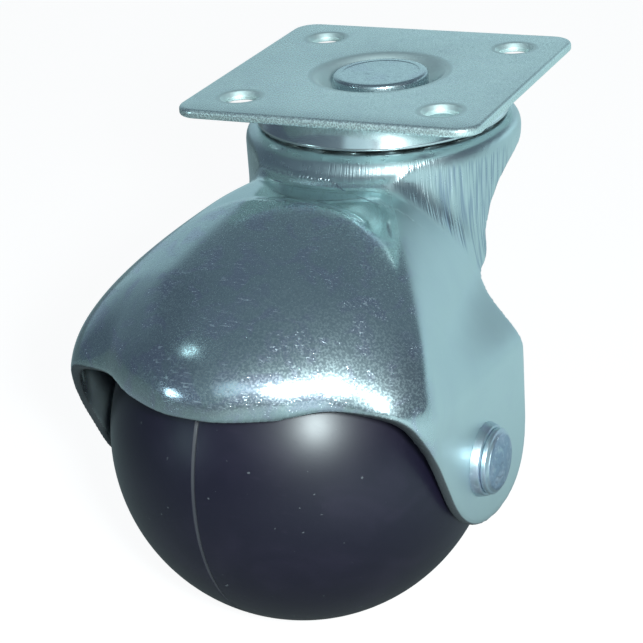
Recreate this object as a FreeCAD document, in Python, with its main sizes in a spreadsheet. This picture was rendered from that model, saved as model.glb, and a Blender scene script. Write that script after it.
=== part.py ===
import FreeCAD, Part
import math
import os
import re

import Sketcher
from FreeCAD import Placement, Rotation, Vector

# Hooded ball caster on a square screw plate, in millimetres.
# The origin is the middle of the plate's top face. +Z is up and out of that face,
# X and Y run along the plate's sides, and the swivel axis is Z.
# The fork and the ball are drawn with the axle along X and the hood's nose towards -Y,
# and are then turned about Z by swivel_angle.

SIZES = [
    ("plate_side", 41.6, "side of the square plate"),
    ("plate_thick", 1.2, "plate sheet"),
    ("plate_corner", 3.2, "corner radius of the plate"),
    ("plate_edge", 0.5, "rounding of the plate's upper edge"),
    ("hole_pitch", 28.0, "screw hole to screw hole"),
    ("hole_dia", 4.4, "screw hole"),
    ("mouth_dia", 6.4, "countersunk mouth of a screw hole"),
    ("mouth_depth", 0.4, "depth of that mouth"),
    ("dish_dia", 19.6, "dish in the plate, at the top face"),
    ("dish_floor_dia", 15.2, "floor of the dish"),
    ("dish_depth", 2.0, "depth of the dish"),
    ("dish_round", 1.4, "rounding of the dish's rim, above and below"),
    ("head_dia", 12.8, "kingpin head"),
    ("head_edge", 0.5, "rounding of the kingpin head"),
    ("pin_dia", 8.0, "kingpin shank"),
    ("tenon_dia", 6.4, "kingpin below its step"),
    ("tail_dia", 10.8, "peened tail of the kingpin"),
    ("tail_height", 1.6, "height of the peened tail"),
    ("tail_bevel", 0.9, "bevel of the peened tail"),
    ("race_thick", 1.2, "sheet of the upper race cup"),
    ("race_bend", 1.0, "inner bend of the upper race cup"),
    ("upper_ball_dia", 4.4, "ball of the upper ring"),
    ("upper_ball_count", 18, "balls in the upper ring"),
    ("upper_pitch_dia", 28.0, "circle of the upper ball centres"),
    ("groove_depth", 1.05, "how deep an upper ball sits in the crown"),
    ("lower_ball_dia", 3.2, "ball of the lower ring"),
    ("lower_ball_count", 16, "balls in the lower ring"),
    ("lower_pitch_dia", 19.2, "circle of the lower ball centres"),
    ("lower_groove", 0.6, "how deep a lower ball sits in its race"),
    ("lower_race_thick", 1.8, "lower race under its land"),
    ("lower_rim", 1.0, "wall of the lower race's rim"),
    ("bearing_gap", 0.06, "play between a ball and its races"),
    ("swivel_gap", 0.4, "air between the race skirt and the crown"),
    ("swivel_angle", -4.0, "turn of the fork about the swivel axis, degrees"),
    ("sheet_thick", 1.4, "sheet of the hood"),
    ("neck_lap", 0.43, "how far the swell of the ball groove runs into the neck wall"),
    ("neck_round", 2.0, "rounding where the crown turns down into the neck"),
    ("crown_bore", 9.0, "hole of the crown round the kingpin"),
    ("trail", 27.6, "swivel axis to axle, level"),
    ("axle_drop", 39.9, "plate top to axle"),
    ("wheel_dia", 50.0, "the ball"),
    ("hub_cut", 1.0, "how far each flat hub face is cut into the ball"),
    ("side_gap", 0.3, "hub face to ear"),
    ("nose_gap", 3.0, "ball to the inside of the nose"),
    ("shoulder_drop", 3.2, "crown top to the hood's shoulder"),
    ("shoulder_reach", 7.2, "shoulder in front of the neck"),
    ("shoulder_half", 9.5, "half width of the shoulder at its corners"),
    ("shoulder_back", 8.0, "shoulder front to its corners"),
    ("ear_top_rise", 9.9, "axle up to where the ears turn upright"),
    ("bend_reach", 13.4, "axle forward to the bend between ear and nose"),
    ("bend_radius", 3.5, "outer radius of that bend"),
    ("side_fullness", 2.1, "how fast the hood's corners swing out"),
    ("nose_fullness", 2.25, "how fast the hood's front swings out"),
    ("toe_in", 12.0, "how far the sides close in towards the rear, degrees"),
    ("toe_start", 0.6, "share of the fall where the sides start to turn parallel"),
    ("arch_drop", 4.0, "crown top to the top of the rear arch"),
    ("arch_front", 6.0, "swivel axis forward to the rear arch"),
    ("arch_radius", 10.5, "rounding of the rear arch"),
    ("waist_rise", 17.6, "axle up to the waist behind the ear"),
    ("waist_step", 1.9, "fall of the waist towards the ear"),
    ("waist_round", 2.2, "rounding of the waist's rear corner"),
    ("ear_crest", 6.5, "rounding from the waist into the ear's rear edge"),
    ("ear_back", 13.0, "axle to the ear's rear edge"),
    ("ear_foot", 8.2, "axle to the ear's lower edge"),
    ("ear_toe", 4.6, "axle forward to the foot of the ear's front edge"),
    ("ear_round", 6.5, "rounding of the ear's foot"),
    ("peak_reach", 19.5, "axle forward to the peak of the rim"),
    ("peak_rise", 16.6, "axle up to the peak of the rim"),
    ("lip_reach", 26.0, "axle forward to the nose lip"),
    ("lip_rise", 14.8, "axle up to the nose lip"),
    ("rim_round", 5.0, "rounding of the rim's turns"),
    ("wheel_wall", 3.0, "wall of the ball"),
    ("hub_dia", 16.0, "hub tube of the ball"),
    ("spigot_length", 1.5, "spigot that joins the two halves"),
    ("spigot_wall", 1.4, "wall of that spigot"),
    ("seam_groove", 0.25, "chamfer along the parting line"),
    ("seam_shift", 1.5, "parting line to the left of the ball's middle"),
    ("rib_count", 6, "ribs in each half"),
    ("rib_thick", 1.8, "rib"),
    ("rib_start", 3.0, "ball's middle to the ribs"),
    ("rib_bite", 0.9, "how far a rib runs into the hub and the shell"),
    ("bush_dia", 8.0, "outside of the spanner bush"),
    ("axle_dia", 5.9, "axle rivet shank"),
    ("running_fit", 0.05, "radial play of the ball on the bush"),
    ("seat_fit", 0.03, "radial play of the pieces that do not turn"),
    ("washer_dia", 9.6, "axle washer"),
    ("washer_thick", 1.15, "axle washer"),
    ("rivet_head_dia", 8.4, "head of the axle rivet"),
    ("rivet_head", 1.4, "thickness of that head"),
    ("rivet_bevel", 0.55, "bevel of that head"),
    ("cutter_spare", 5.0, "how far a cutting form runs past the piece it cuts"),
]

# Levels of the hood's outlines, from the shoulder at 0 to where the ears turn upright at 1
HOOD_SHARES = (0.0, 0.12, 0.26, 0.42, 0.6, 0.78, 0.9, 1.0)
FLAT_TOLERANCE = 1e-6

document = FreeCAD.newDocument("ball_caster")
sheet = document.addObject("Spreadsheet::Sheet", "Sizes")
for row, (alias, size, note) in enumerate(SIZES, start=1):
    sheet.set(f"A{row}", note)
    sheet.set(f"B{row}", str(size))
    sheet.setAlias(f"B{row}", alias)
document.recompute()
ALIASES = {alias for alias, size, note in SIZES}

# Levels and radii that follow from the sizes, written as expressions
PLATE_HALF = "(plate_side / 2)"
RACE_ROOF = "(-plate_thick - race_thick)"
UPPER_PITCH = "(upper_pitch_dia / 2)"
UPPER_BALL_Z = f"({RACE_ROOF} - bearing_gap - upper_ball_dia / 2)"
GROOVE_R = "(upper_ball_dia / 2 + seat_fit)"
GROOVE_RISE = "(upper_ball_dia / 2 - groove_depth)"
CROWN_TOP = f"({UPPER_BALL_Z} - {GROOVE_RISE})"
CROWN_UNDER = f"({CROWN_TOP} - sheet_thick)"
NECK_R = f"({UPPER_PITCH} + {GROOVE_R} + 2 * sheet_thick - neck_lap)"
LOWER_PITCH = "(lower_pitch_dia / 2)"
LOWER_BALL_Z = f"({CROWN_UNDER} - bearing_gap - lower_ball_dia / 2)"
LOWER_LAND = f"({LOWER_BALL_Z} - lower_ball_dia / 2 + lower_groove)"
LOWER_UNDER = f"({LOWER_LAND} - lower_race_thick)"
WHEEL_R = "(wheel_dia / 2)"
WHEEL_INNER = f"({WHEEL_R} - wheel_wall)"
HUB_HALF = f"({WHEEL_R} - hub_cut)"
EAR_INNER = f"({HUB_HALF} + side_gap)"
EAR_OUTER = f"({EAR_INNER} + sheet_thick)"
HEAD_SEAT = f"({EAR_OUTER} + washer_thick)"
BUSH_R = "(bush_dia / 2)"
BUSH_BORE = "(axle_dia / 2 + seat_fit)"
HUB_BORE = f"({BUSH_R} + running_fit)"


def bound(text):
    """Puts the sheet's name before each size in an expression."""
    words = re.split(r"([a-z_]+)", text)
    return "".join("Sizes." + word if word in ALIASES else word for word in words)


def number(text):
    """Works out an expression as a plain number."""
    return float(sheet.evalExpression(bound(text)))


def bind(item, property_name, text):
    """Ties a property to an expression of the sizes."""
    item.setExpression(property_name, bound(text))


def turn_with_fork(item, x="0", y="0", z="0"):
    """Places a piece of the fork or the ball, given its place in the fork's own axes."""
    item.Placement = Placement(Vector(), Rotation(Vector(0, 0, 1), number("swivel_angle")))
    bind(item, "Placement.Rotation.Angle", "swivel_angle * 1 deg")
    cosine = "cos(swivel_angle * 1 deg)"
    sine = "sin(swivel_angle * 1 deg)"
    bind(item, "Placement.Base.x", f"({x}) * {cosine} - ({y}) * {sine}")
    bind(item, "Placement.Base.y", f"({x}) * {sine} + ({y}) * {cosine}")
    bind(item, "Placement.Base.z", z)


def new_body(label):
    """Starts a piece that is made of sketches and features."""
    body = document.addObject("PartDesign::Body", label + "_body")
    body.Label = label
    return body


def origin_plane(body, role):
    """Finds one of the body's own origin planes."""
    return next(plane for plane in body.Origin.OriginFeatures if plane.Role == role)


def is_clockwise(corner):
    """True where an arc leaves this corner and turns clockwise."""
    return len(corner) == 3 and corner[2].startswith("-")


def draw(body, name, role, corners):
    """Draws a closed outline whose corners are tied to the sizes.

    A corner is (x, y), or (x, y, radius) where an arc of that radius runs on to the next corner:
    it turns anticlockwise where the radius is given plainly and clockwise after a minus sign.
    """
    sketch = body.newObject("Sketcher::SketchObject", name)
    sketch.AttachmentSupport = [(origin_plane(body, role), "")]
    sketch.MapMode = "FlatFace"
    places = [Vector(number(corner[0]), number(corner[1]), 0) for corner in corners]
    for index, corner in enumerate(corners):
        start = places[index]
        end = places[(index + 1) % len(places)]
        if len(corner) == 2:
            sketch.addGeometry(Part.LineSegment(start, end), False)
            continue
        radius = abs(number(corner[2]))
        chord = end - start
        side = Vector(chord.y, -chord.x, 0) if is_clockwise(corner) else Vector(-chord.y, chord.x, 0)
        side.normalize()
        rise = math.sqrt(max(radius ** 2 - (chord.Length / 2) ** 2, 0.0))
        centre = (start + end) / 2 + side * rise
        middle = centre - side * radius
        sketch.addGeometry(Part.Arc(start, middle, end), False)
    for index, corner in enumerate(corners):
        following = (index + 1) % len(corners)
        # A sketch keeps each arc anticlockwise, so a clockwise one starts at its second end
        leaves, arrives = (2, 1) if is_clockwise(corner) else (1, 2)
        starts = 2 if is_clockwise(corners[following]) else 1
        sketch.addConstraint(Sketcher.Constraint("Coincident", index, arrives, following, starts))
        for kind, text in (("DistanceX", corner[0]), ("DistanceY", corner[1])):
            tie = sketch.addConstraint(Sketcher.Constraint(kind, -1, 1, index, leaves, number(text)))
            sketch.setExpression(f"Constraints[{tie}]", bound(text))
        if len(corner) == 3:
            radius = corner[2].lstrip("-")
            tie = sketch.addConstraint(Sketcher.Constraint("Radius", index, number(radius)))
            sketch.setExpression(f"Constraints[{tie}]", bound(radius))
    return sketch


def revolve(body, sketch, axis, kind="PartDesign::Revolution"):
    """Turns an outline right round the sketch's upright or level axis."""
    feature = body.newObject(kind, sketch.Name + "_turned")
    feature.Profile = sketch
    feature.ReferenceAxis = (sketch, [axis])
    feature.Angle = 360
    document.recompute()
    return feature


def turned_piece(label, corners, axis="V_Axis"):
    """Makes a turned piece from half of its section."""
    body = new_body(label)
    revolve(body, draw(body, label + "_section", "XZ_Plane", corners), axis)
    return body


def ball_ring(label, ball_dia, pitch, level, count):
    """Makes a ring of separate balls."""
    balls = []
    for index in range(int(number(count))):
        ball = document.addObject("Part::Sphere", f"{label}_{index + 1}")
        bind(ball, "Radius", f"{ball_dia} / 2")
        angle = f"({index} * 360 deg / {count})"
        bind(ball, "Placement.Base.x", f"{pitch} * cos({angle})")
        bind(ball, "Placement.Base.y", f"{pitch} * sin({angle})")
        bind(ball, "Placement.Base.z", level)
        balls.append(ball)
    ring = document.addObject("Part::Compound", label + "_ring")
    ring.Label = label
    ring.Links = balls
    return ring


def round_edges(feature, radius, levels):
    """Names the round edges of a feature that have this radius and lie at one of these levels."""
    names = []
    for index, edge in enumerate(feature.Shape.Edges, start=1):
        if not isinstance(edge.Curve, Part.Circle):
            continue
        off_radius = abs(edge.Curve.Radius - radius)
        off_level = min(abs(edge.Curve.Center.z - level) for level in levels)
        if max(off_radius, off_level) < FLAT_TOLERANCE:
            names.append(f"Edge{index}")
    return names


def make_top_plate():
    """Square plate with rounded corners, a dish for the kingpin's head and four screw holes."""
    flat = f"({PLATE_HALF} - plate_corner)"
    body = new_body("plate_blank")
    outline = draw(body, "plate_outline", "XY_Plane", [
        (PLATE_HALF, f"-{flat}"),
        (PLATE_HALF, flat, "plate_corner"),
        (flat, PLATE_HALF),
        (f"-{flat}", PLATE_HALF, "plate_corner"),
        (f"-{PLATE_HALF}", flat),
        (f"-{PLATE_HALF}", f"-{flat}", "plate_corner"),
        (f"-{flat}", f"-{PLATE_HALF}"),
        (flat, f"-{PLATE_HALF}", "plate_corner"),
    ])
    pad = body.newObject("PartDesign::Pad", "plate_pad")
    pad.Profile = outline
    pad.Reversed = True
    bind(pad, "Length", "plate_thick")
    document.recompute()
    upper_edges = [
        f"Edge{index}"
        for index, edge in enumerate(pad.Shape.Edges, start=1)
        if max(abs(edge.BoundBox.ZMin), abs(edge.BoundBox.ZMax)) < FLAT_TOLERANCE
    ]
    rounding = body.newObject("PartDesign::Fillet", "plate_rounding")
    rounding.Base = (pad, upper_edges)
    bind(rounding, "Radius", "plate_edge")
    document.recompute()
    under = "(dish_depth + plate_thick)"
    swell = draw(body, "dish_swell", "XZ_Plane", [
        ("pin_dia / 2", f"-{under}"),
        ("dish_floor_dia / 2", f"-{under}"),
        ("dish_dia / 2", "-plate_thick"),
        ("dish_dia / 2", "-plate_thick / 2"),
        ("pin_dia / 2", "-plate_thick / 2"),
    ])
    revolve(body, swell, "V_Axis")
    recess = draw(body, "dish_recess", "XZ_Plane", [
        ("0", f"-{under} - cutter_spare"),
        ("pin_dia / 2 + seat_fit", f"-{under} - cutter_spare"),
        ("pin_dia / 2 + seat_fit", "-dish_depth"),
        ("dish_floor_dia / 2", "-dish_depth"),
        ("dish_dia / 2", "0"),
        ("dish_dia / 2", "cutter_spare"),
        ("0", "cutter_spare"),
    ])
    dish = revolve(body, recess, "V_Axis", "PartDesign::Groove")
    rims = round_edges(dish, number("dish_dia") / 2, (0.0, -number("plate_thick")))
    rim_rounding = body.newObject("PartDesign::Fillet", "dish_rounding")
    rim_rounding.Base = (dish, rims)
    bind(rim_rounding, "Radius", "dish_round")
    document.recompute()
    holes = []
    for across in (-1, 1):
        for along in (-1, 1):
            drill = document.addObject("Part::Cylinder", f"screw_hole_{len(holes) // 2 + 1}")
            bind(drill, "Radius", "hole_dia / 2")
            bind(drill, "Height", "plate_thick + 2 * cutter_spare")
            bind(drill, "Placement.Base.z", "-plate_thick - cutter_spare")
            mouth = document.addObject("Part::Cone", f"screw_mouth_{len(holes) // 2 + 1}")
            bind(mouth, "Radius1", "hole_dia / 2")
            bind(mouth, "Radius2", "mouth_dia / 2")
            bind(mouth, "Height", "mouth_depth")
            bind(mouth, "Placement.Base.z", "-mouth_depth")
            for tool in (drill, mouth):
                bind(tool, "Placement.Base.x", f"{across} * hole_pitch / 2")
                bind(tool, "Placement.Base.y", f"{along} * hole_pitch / 2")
                holes.append(tool)
    tools = document.addObject("Part::MultiFuse", "screw_holes")
    tools.Shapes = holes
    plate = document.addObject("Part::Cut", "drilled_plate")
    plate.Label = "top_plate"
    plate.Base = body
    plate.Tool = tools
    return plate


def make_kingpin():
    """Pivot rivet: head in the plate's dish, stepped shank, peened tail under the lower race."""
    tail_under = f"({LOWER_UNDER} - tail_height)"
    return turned_piece("kingpin", [
        ("0", tail_under),
        ("tail_dia / 2 - tail_bevel", tail_under),
        ("tail_dia / 2", f"{tail_under} + tail_bevel"),
        ("tail_dia / 2", LOWER_UNDER),
        ("tenon_dia / 2", LOWER_UNDER),
        ("tenon_dia / 2", LOWER_LAND),
        ("pin_dia / 2", LOWER_LAND),
        ("pin_dia / 2", "-dish_depth"),
        ("head_dia / 2", "-dish_depth"),
        ("head_dia / 2", "-head_edge", "head_edge"),
        ("head_dia / 2 - head_edge", "0"),
        ("0", "0"),
    ])


def make_upper_race():
    """Pressed cup: a flat ring under the plate and a skirt that turns down round the balls."""
    inner = f"({UPPER_PITCH} + upper_ball_dia / 2 + bearing_gap)"
    outer = f"({inner} + race_thick)"
    foot = f"({CROWN_TOP} + swivel_gap)"
    bore = "(dish_dia / 2 + seat_fit)"
    bend = "(race_bend + race_thick)"
    return turned_piece("upper_race", [
        (bore, RACE_ROOF),
        (f"{inner} - race_bend", RACE_ROOF, "-race_bend"),
        (inner, f"{RACE_ROOF} - race_bend"),
        (inner, foot),
        (outer, foot),
        (outer, f"-plate_thick - {bend}", bend),
        (f"{outer} - {bend}", "-plate_thick"),
        (bore, "-plate_thick"),
    ])


def make_lower_race():
    """Cup washer with a ball groove and an upturned rim, clamped under the kingpin's step."""
    groove = "(lower_ball_dia / 2 + seat_fit)"
    reach = f"sqrt({groove} ^ 2 - (lower_ball_dia / 2 - lower_groove) ^ 2)"
    rim_inner = f"({LOWER_PITCH} + lower_ball_dia / 2 + bearing_gap)"
    rim_top = f"({LOWER_BALL_Z} + lower_groove / 2)"
    return turned_piece("lower_race", [
        ("tenon_dia / 2", LOWER_UNDER),
        (f"{rim_inner} + lower_rim / 2", LOWER_UNDER),
        (f"{rim_inner} + lower_rim", f"{LOWER_UNDER} + lower_rim / 2"),
        (f"{rim_inner} + lower_rim", rim_top),
        (rim_inner, rim_top),
        (rim_inner, LOWER_LAND),
        (f"{LOWER_PITCH} + {reach}", LOWER_LAND, f"-{groove}"),
        (f"{LOWER_PITCH} - {reach}", LOWER_LAND),
        ("tenon_dia / 2", LOWER_LAND),
    ])


def make_neck():
    """Crown with its ball groove and the upright neck wall, before the hood is joined on."""
    groove_reach = f"sqrt({GROOVE_R} ^ 2 - {GROOVE_RISE} ^ 2)"
    swell = f"({GROOVE_R} + sheet_thick)"
    swell_rise = f"({UPPER_BALL_Z} - {CROWN_UNDER})"
    swell_reach = f"sqrt({swell} ^ 2 - {swell_rise} ^ 2)"
    wall_inner = f"({NECK_R} - sheet_thick)"
    wall_meets = f"({UPPER_BALL_Z} - sqrt({swell} ^ 2 - ({wall_inner} - {UPPER_PITCH}) ^ 2))"
    foot = "(-axle_drop + ear_top_rise)"
    return turned_piece("neck", [
        ("crown_bore / 2", CROWN_UNDER),
        (f"{UPPER_PITCH} - {swell_reach}", CROWN_UNDER, swell),
        (wall_inner, wall_meets),
        (wall_inner, foot),
        (NECK_R, foot),
        (NECK_R, f"{CROWN_TOP} - neck_round", "neck_round"),
        (f"{NECK_R} - neck_round", CROWN_TOP),
        (f"{UPPER_PITCH} + {groove_reach}", CROWN_TOP, f"-{GROOVE_R}"),
        (f"{UPPER_PITCH} - {groove_reach}", CROWN_TOP),
        ("crown_bore / 2", CROWN_TOP),
    ])


def line_meets_circle(point, along, middle, radius):
    """Point where a line, followed forwards, leaves a circle."""
    offset = point - middle
    half = offset.dot(along)
    return point + along * (-half + math.sqrt(half ** 2 - offset.dot(offset) + radius ** 2))


def hood_section(share, inset):
    """One level outline of the hood.

    share runs from 0 at the shoulder to 1 where the ears turn upright. inset is 0 for the outside
    of the sheet and the sheet's thickness for the inside.
    """
    top = number(CROWN_TOP) - number("shoulder_drop")
    fall = top + number("axle_drop") - number("ear_top_rise")
    side_power = number("side_fullness")
    nose_power = number("nose_fullness")
    front_start = -number(f"{NECK_R} + shoulder_reach")
    corner_start = Vector(number("shoulder_half"), front_start + number("shoulder_back"), 0)
    corner_end = Vector(number(EAR_OUTER), -number("trail + bend_reach"), 0)
    front_end = -number(f"trail + {WHEEL_R} + nose_gap + sheet_thick")
    corner = corner_start + (corner_end - corner_start) * (1 - (1 - share) ** side_power)
    front = front_start + (front_end - front_start) * (1 - (1 - share) ** nose_power)
    side_run = (corner_end.x - corner_start.x) * side_power * (1 - share) ** (side_power - 1)
    nose_run = (front_start - front_end) * nose_power * (1 - share) ** (nose_power - 1)
    side_slope = math.atan2(fall, side_run)
    nose_slope = math.atan2(fall, nose_run)
    level = top - fall * share - inset * math.cos(nose_slope)
    side_inset = inset * (1 - math.cos(nose_slope) * math.cos(side_slope)) / math.sin(side_slope)

    sagitta = corner.y - front
    radius = (corner.x ** 2 + sagitta ** 2) / (2 * sagitta)
    middle = Vector(0, front + radius, 0)
    radius -= inset * math.sin(nose_slope)
    turned = max(share - number("toe_start"), 0) / (1 - number("toe_start"))
    angle = math.radians(number("toe_in")) * (1 - turned ** 2 * (3 - 2 * turned))
    forwards = Vector(math.sin(angle), -math.cos(angle), 0)
    outwards = Vector(math.cos(angle), math.sin(angle), 0)
    on_side = corner - outwards * side_inset
    bend = number("bend_radius") - inset
    bend_line = on_side - outwards * bend - forwards * radius
    bend_middle = line_meets_circle(bend_line, forwards, middle, radius - bend)
    side_end = bend_middle + outwards * bend
    nose_end = middle + (bend_middle - middle).normalize() * radius
    bend_mid = bend_middle + (outwards + (nose_end - bend_middle) * (1 / bend)).normalize() * bend
    back = on_side - forwards * (on_side.y / forwards.y)
    return level, [back, side_end, bend_mid, nose_end, Vector(0, middle.y - radius, 0)]


def section_wire(level, points):
    """Closes a level outline: two sides, two bends, the nose and a straight rear."""
    right = [Vector(point.x, point.y, level) for point in points]
    left = [Vector(-point.x, point.y, level) for point in points]
    edges = [
        Part.LineSegment(right[0], right[1]),
        Part.Arc(right[1], right[2], right[3]),
        Part.Arc(right[3], right[4], left[3]),
        Part.Arc(left[3], left[2], left[1]),
        Part.LineSegment(left[1], left[0]),
        Part.LineSegment(left[0], right[0]),
    ]
    return Part.Wire([edge.toShape() for edge in edges])


def hood_form(label, inset):
    """Solid form of the hood, lofted through its level outlines and carried down past the ears."""
    wires = [section_wire(*hood_section(share, inset)) for share in HOOD_SHARES]
    foot = -number("axle_drop + ear_foot + cutter_spare")
    upright = Part.Face(wires[-1]).extrude(Vector(0, 0, foot - wires[-1].BoundBox.ZMin))
    form = document.addObject("Part::Feature", label)
    form.Shape = Part.makeLoft(wires, True, False).fuse(upright)
    return form


def rounded_outline(corners):
    """Closed wire through (y, z, radius) corners in the plane x = 0, each turn rounded."""
    points = [Vector(0, y, z) for y, z, radius in corners]
    edges = []
    ends = []
    for index, (y, z, radius) in enumerate(corners):
        here = points[index]
        back = (points[index - 1] - here).normalize()
        onward = (points[(index + 1) % len(points)] - here).normalize()
        half_angle = back.getAngle(onward) / 2
        run = radius / math.tan(half_angle)
        start = here + back * run
        end = here + onward * run
        if radius > 0:
            middle = here + (back + onward).normalize() * (radius / math.sin(half_angle) - radius)
            edges.append(Part.Arc(start, middle, end).toShape())
        ends.append((start, end))
    for index in range(len(ends)):
        edges.append(Part.LineSegment(ends[index - 1][1], ends[index][0]).toShape())
    return Part.Wire(Part.__sortEdges__(edges))


def make_side_cut():
    """Side view of the hood: rear arch, waist, ear, rim and nose lip, as a prism across the hood."""
    axle_y = -number("trail")
    axle_z = -number("axle_drop")
    top = number(f"{CROWN_TOP} + cutter_spare")
    reach = number(f"trail + {WHEEL_R} + nose_gap + sheet_thick + cutter_spare")
    arch = number(f"{CROWN_TOP} - arch_drop")
    arch_front = -number("arch_front")
    waist = axle_z + number("waist_rise")
    ear_back = axle_y + number("ear_back")
    ear_foot = axle_z - number("ear_foot")
    ear_toe = axle_y - number("ear_toe")
    ear_round = number("ear_round")
    rim_round = number("rim_round")
    lip = axle_z + number("lip_rise")
    outline = rounded_outline([
        (reach, top, 0),
        (reach, arch, 0),
        (arch_front, arch, number("arch_radius")),
        (arch_front, waist, number("waist_round")),
        (ear_back, waist - number("waist_step"), number("ear_crest")),
        (ear_back, ear_foot, ear_round),
        (ear_toe, ear_foot, ear_round),
        (axle_y - number("peak_reach"), axle_z + number("peak_rise"), rim_round),
        (axle_y - number("lip_reach"), lip, rim_round),
        (-reach, lip, 0),
        (-reach, top, 0),
    ])
    half_width = number(f"{EAR_OUTER} + cutter_spare")
    solid = Part.Face(outline).extrude(Vector(2 * half_width, 0, 0))
    prism = document.addObject("Part::Feature", "side_view")
    prism.Shape = solid.translated(Vector(-half_width, 0, 0))
    return prism


def make_hood_fork():
    """The drawn hood: neck and crown, shoulder, dome, bends and ears in one sheet."""
    neck = make_neck()
    outer = hood_form("hood_outside", 0.0)
    inner = hood_form("hood_inside", number("sheet_thick"))
    neck_hole = document.addObject("Part::Cylinder", "neck_inside")
    bind(neck_hole, "Radius", f"{NECK_R} - sheet_thick")
    bind(neck_hole, "Height", f"axle_drop + {CROWN_TOP}")
    bind(neck_hole, "Placement.Base.z", "-axle_drop")
    dome = document.addObject("Part::Cut", "dome_open_to_neck")
    dome.Base = outer
    dome.Tool = neck_hole
    joined = document.addObject("Part::MultiFuse", "neck_and_dome")
    joined.Shapes = [dome, neck]
    hollow = document.addObject("Part::Cut", "hollow_hood")
    hollow.Base = joined
    hollow.Tool = inner
    trimmed = document.addObject("Part::Common", "trimmed_hood")
    trimmed.Base = hollow
    trimmed.Tool = make_side_cut()
    axle_hole = document.addObject("Part::Cylinder", "axle_hole")
    axle_hole.Placement = Placement(Vector(), Rotation(Vector(0, 1, 0), 90))
    bind(axle_hole, "Radius", BUSH_BORE)
    bind(axle_hole, "Height", f"2 * ({EAR_OUTER} + cutter_spare)")
    bind(axle_hole, "Placement.Base.x", f"-{EAR_OUTER} - cutter_spare")
    bind(axle_hole, "Placement.Base.y", "-trail")
    bind(axle_hole, "Placement.Base.z", "-axle_drop")
    hood = document.addObject("Part::Cut", "hood_with_axle_hole")
    hood.Label = "hood_fork"
    hood.Base = trimmed
    hood.Tool = axle_hole
    turn_with_fork(hood)
    return hood


def on_axle(piece):
    """Places a piece that was drawn about the X axis on the axle."""
    turn_with_fork(piece, "0", "-trail", "-axle_drop")
    return piece


def wheel_section(side):
    """Half section of one half of the ball: shell, hub tube, and spigot or its recess."""
    left = side == "left"
    sign = "-" if left else ""
    outer_arc = f"-{WHEEL_R}" if left else WHEEL_R
    inner_arc = WHEEL_INNER if left else f"-{WHEEL_INNER}"
    chamfer_x = "(-seam_shift - seam_groove)" if left else "(-seam_shift + seam_groove)"
    rim = f"sqrt({WHEEL_R} ^ 2 - {chamfer_x} ^ 2)"
    play = "0" if left else "seat_fit"
    spigot_end = f"(spigot_length - seam_shift + {play})"
    spigot_top = f"({WHEEL_INNER} + spigot_wall + {play})"
    return [
        ("-seam_shift", HUB_BORE),
        (f"{sign}{HUB_HALF}", HUB_BORE),
        (f"{sign}{HUB_HALF}", f"sqrt({WHEEL_R} ^ 2 - {HUB_HALF} ^ 2)", outer_arc),
        (chamfer_x, rim),
        ("-seam_shift", f"{rim} - seam_groove"),
        ("-seam_shift", spigot_top),
        (spigot_end, spigot_top),
        (spigot_end, f"sqrt({WHEEL_INNER} ^ 2 - {spigot_end} ^ 2)", inner_arc),
        (f"{sign}sqrt({WHEEL_INNER} ^ 2 - (hub_dia / 2) ^ 2)", "hub_dia / 2"),
        ("-seam_shift", "hub_dia / 2"),
    ]


def make_wheel_half(side):
    """One moulded half of the ball, with its ribs between hub and shell."""
    sign = "-" if side == "left" else ""
    label = f"wheel_{side}_half"
    body = turned_piece(label, wheel_section(side), "H_Axis")
    root = "(hub_dia / 2 - rib_bite)"
    crest = f"({WHEEL_INNER} + rib_bite)"
    crest_arc = crest if side == "left" else f"-{crest}"
    rib_sketch = draw(body, label + "_rib", "XZ_Plane", [
        (f"{sign}rib_start", root),
        (f"{sign}rib_start", f"sqrt({crest} ^ 2 - rib_start ^ 2)", crest_arc),
        (f"{sign}sqrt({crest} ^ 2 - {root} ^ 2)", root),
    ])
    rib = body.newObject("PartDesign::Pad", label + "_rib_pad")
    rib.Profile = rib_sketch
    rib.SideType = "Symmetric"
    bind(rib, "Length", "rib_thick")
    document.recompute()
    ribs = body.newObject("PartDesign::PolarPattern", label + "_ribs")
    ribs.Originals = [rib]
    ribs.Axis = (rib_sketch, ["H_Axis"])
    ribs.Angle = 360
    bind(ribs, "Occurrences", "rib_count")
    body.Tip = ribs
    return on_axle(body)


def make_spanner_bush():
    """Steel tube held between the ears, which the ball turns on."""
    return on_axle(turned_piece("spanner_bush", [
        (f"-{EAR_INNER}", BUSH_BORE),
        (EAR_INNER, BUSH_BORE),
        (EAR_INNER, BUSH_R),
        (f"-{EAR_INNER}", BUSH_R),
    ], "H_Axis"))


def make_axle_rivet():
    """Rivet through the ears and the bush, with a bevelled head at each end."""
    end = f"({HEAD_SEAT} + rivet_head)"
    head = "(rivet_head_dia / 2)"
    shank = "(axle_dia / 2)"
    return on_axle(turned_piece("axle_rivet", [
        (f"-{end}", "0"),
        (end, "0"),
        (end, f"{head} - rivet_bevel"),
        (f"{end} - rivet_bevel", head),
        (HEAD_SEAT, head),
        (HEAD_SEAT, shank),
        (f"-{HEAD_SEAT}", shank),
        (f"-{HEAD_SEAT}", head),
        (f"-{end} + rivet_bevel", head),
        (f"-{end}", f"{head} - rivet_bevel"),
    ], "H_Axis"))


def make_axle_washer(side):
    """Washer between an ear and the rivet's head."""
    inner = f"-{HEAD_SEAT}" if side == "left" else EAR_OUTER
    outer = f"-{EAR_OUTER}" if side == "left" else HEAD_SEAT
    return on_axle(turned_piece(f"axle_washer_{side}", [
        (inner, BUSH_BORE),
        (outer, BUSH_BORE),
        (outer, "washer_dia / 2"),
        (inner, "washer_dia / 2"),
    ], "H_Axis"))


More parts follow.
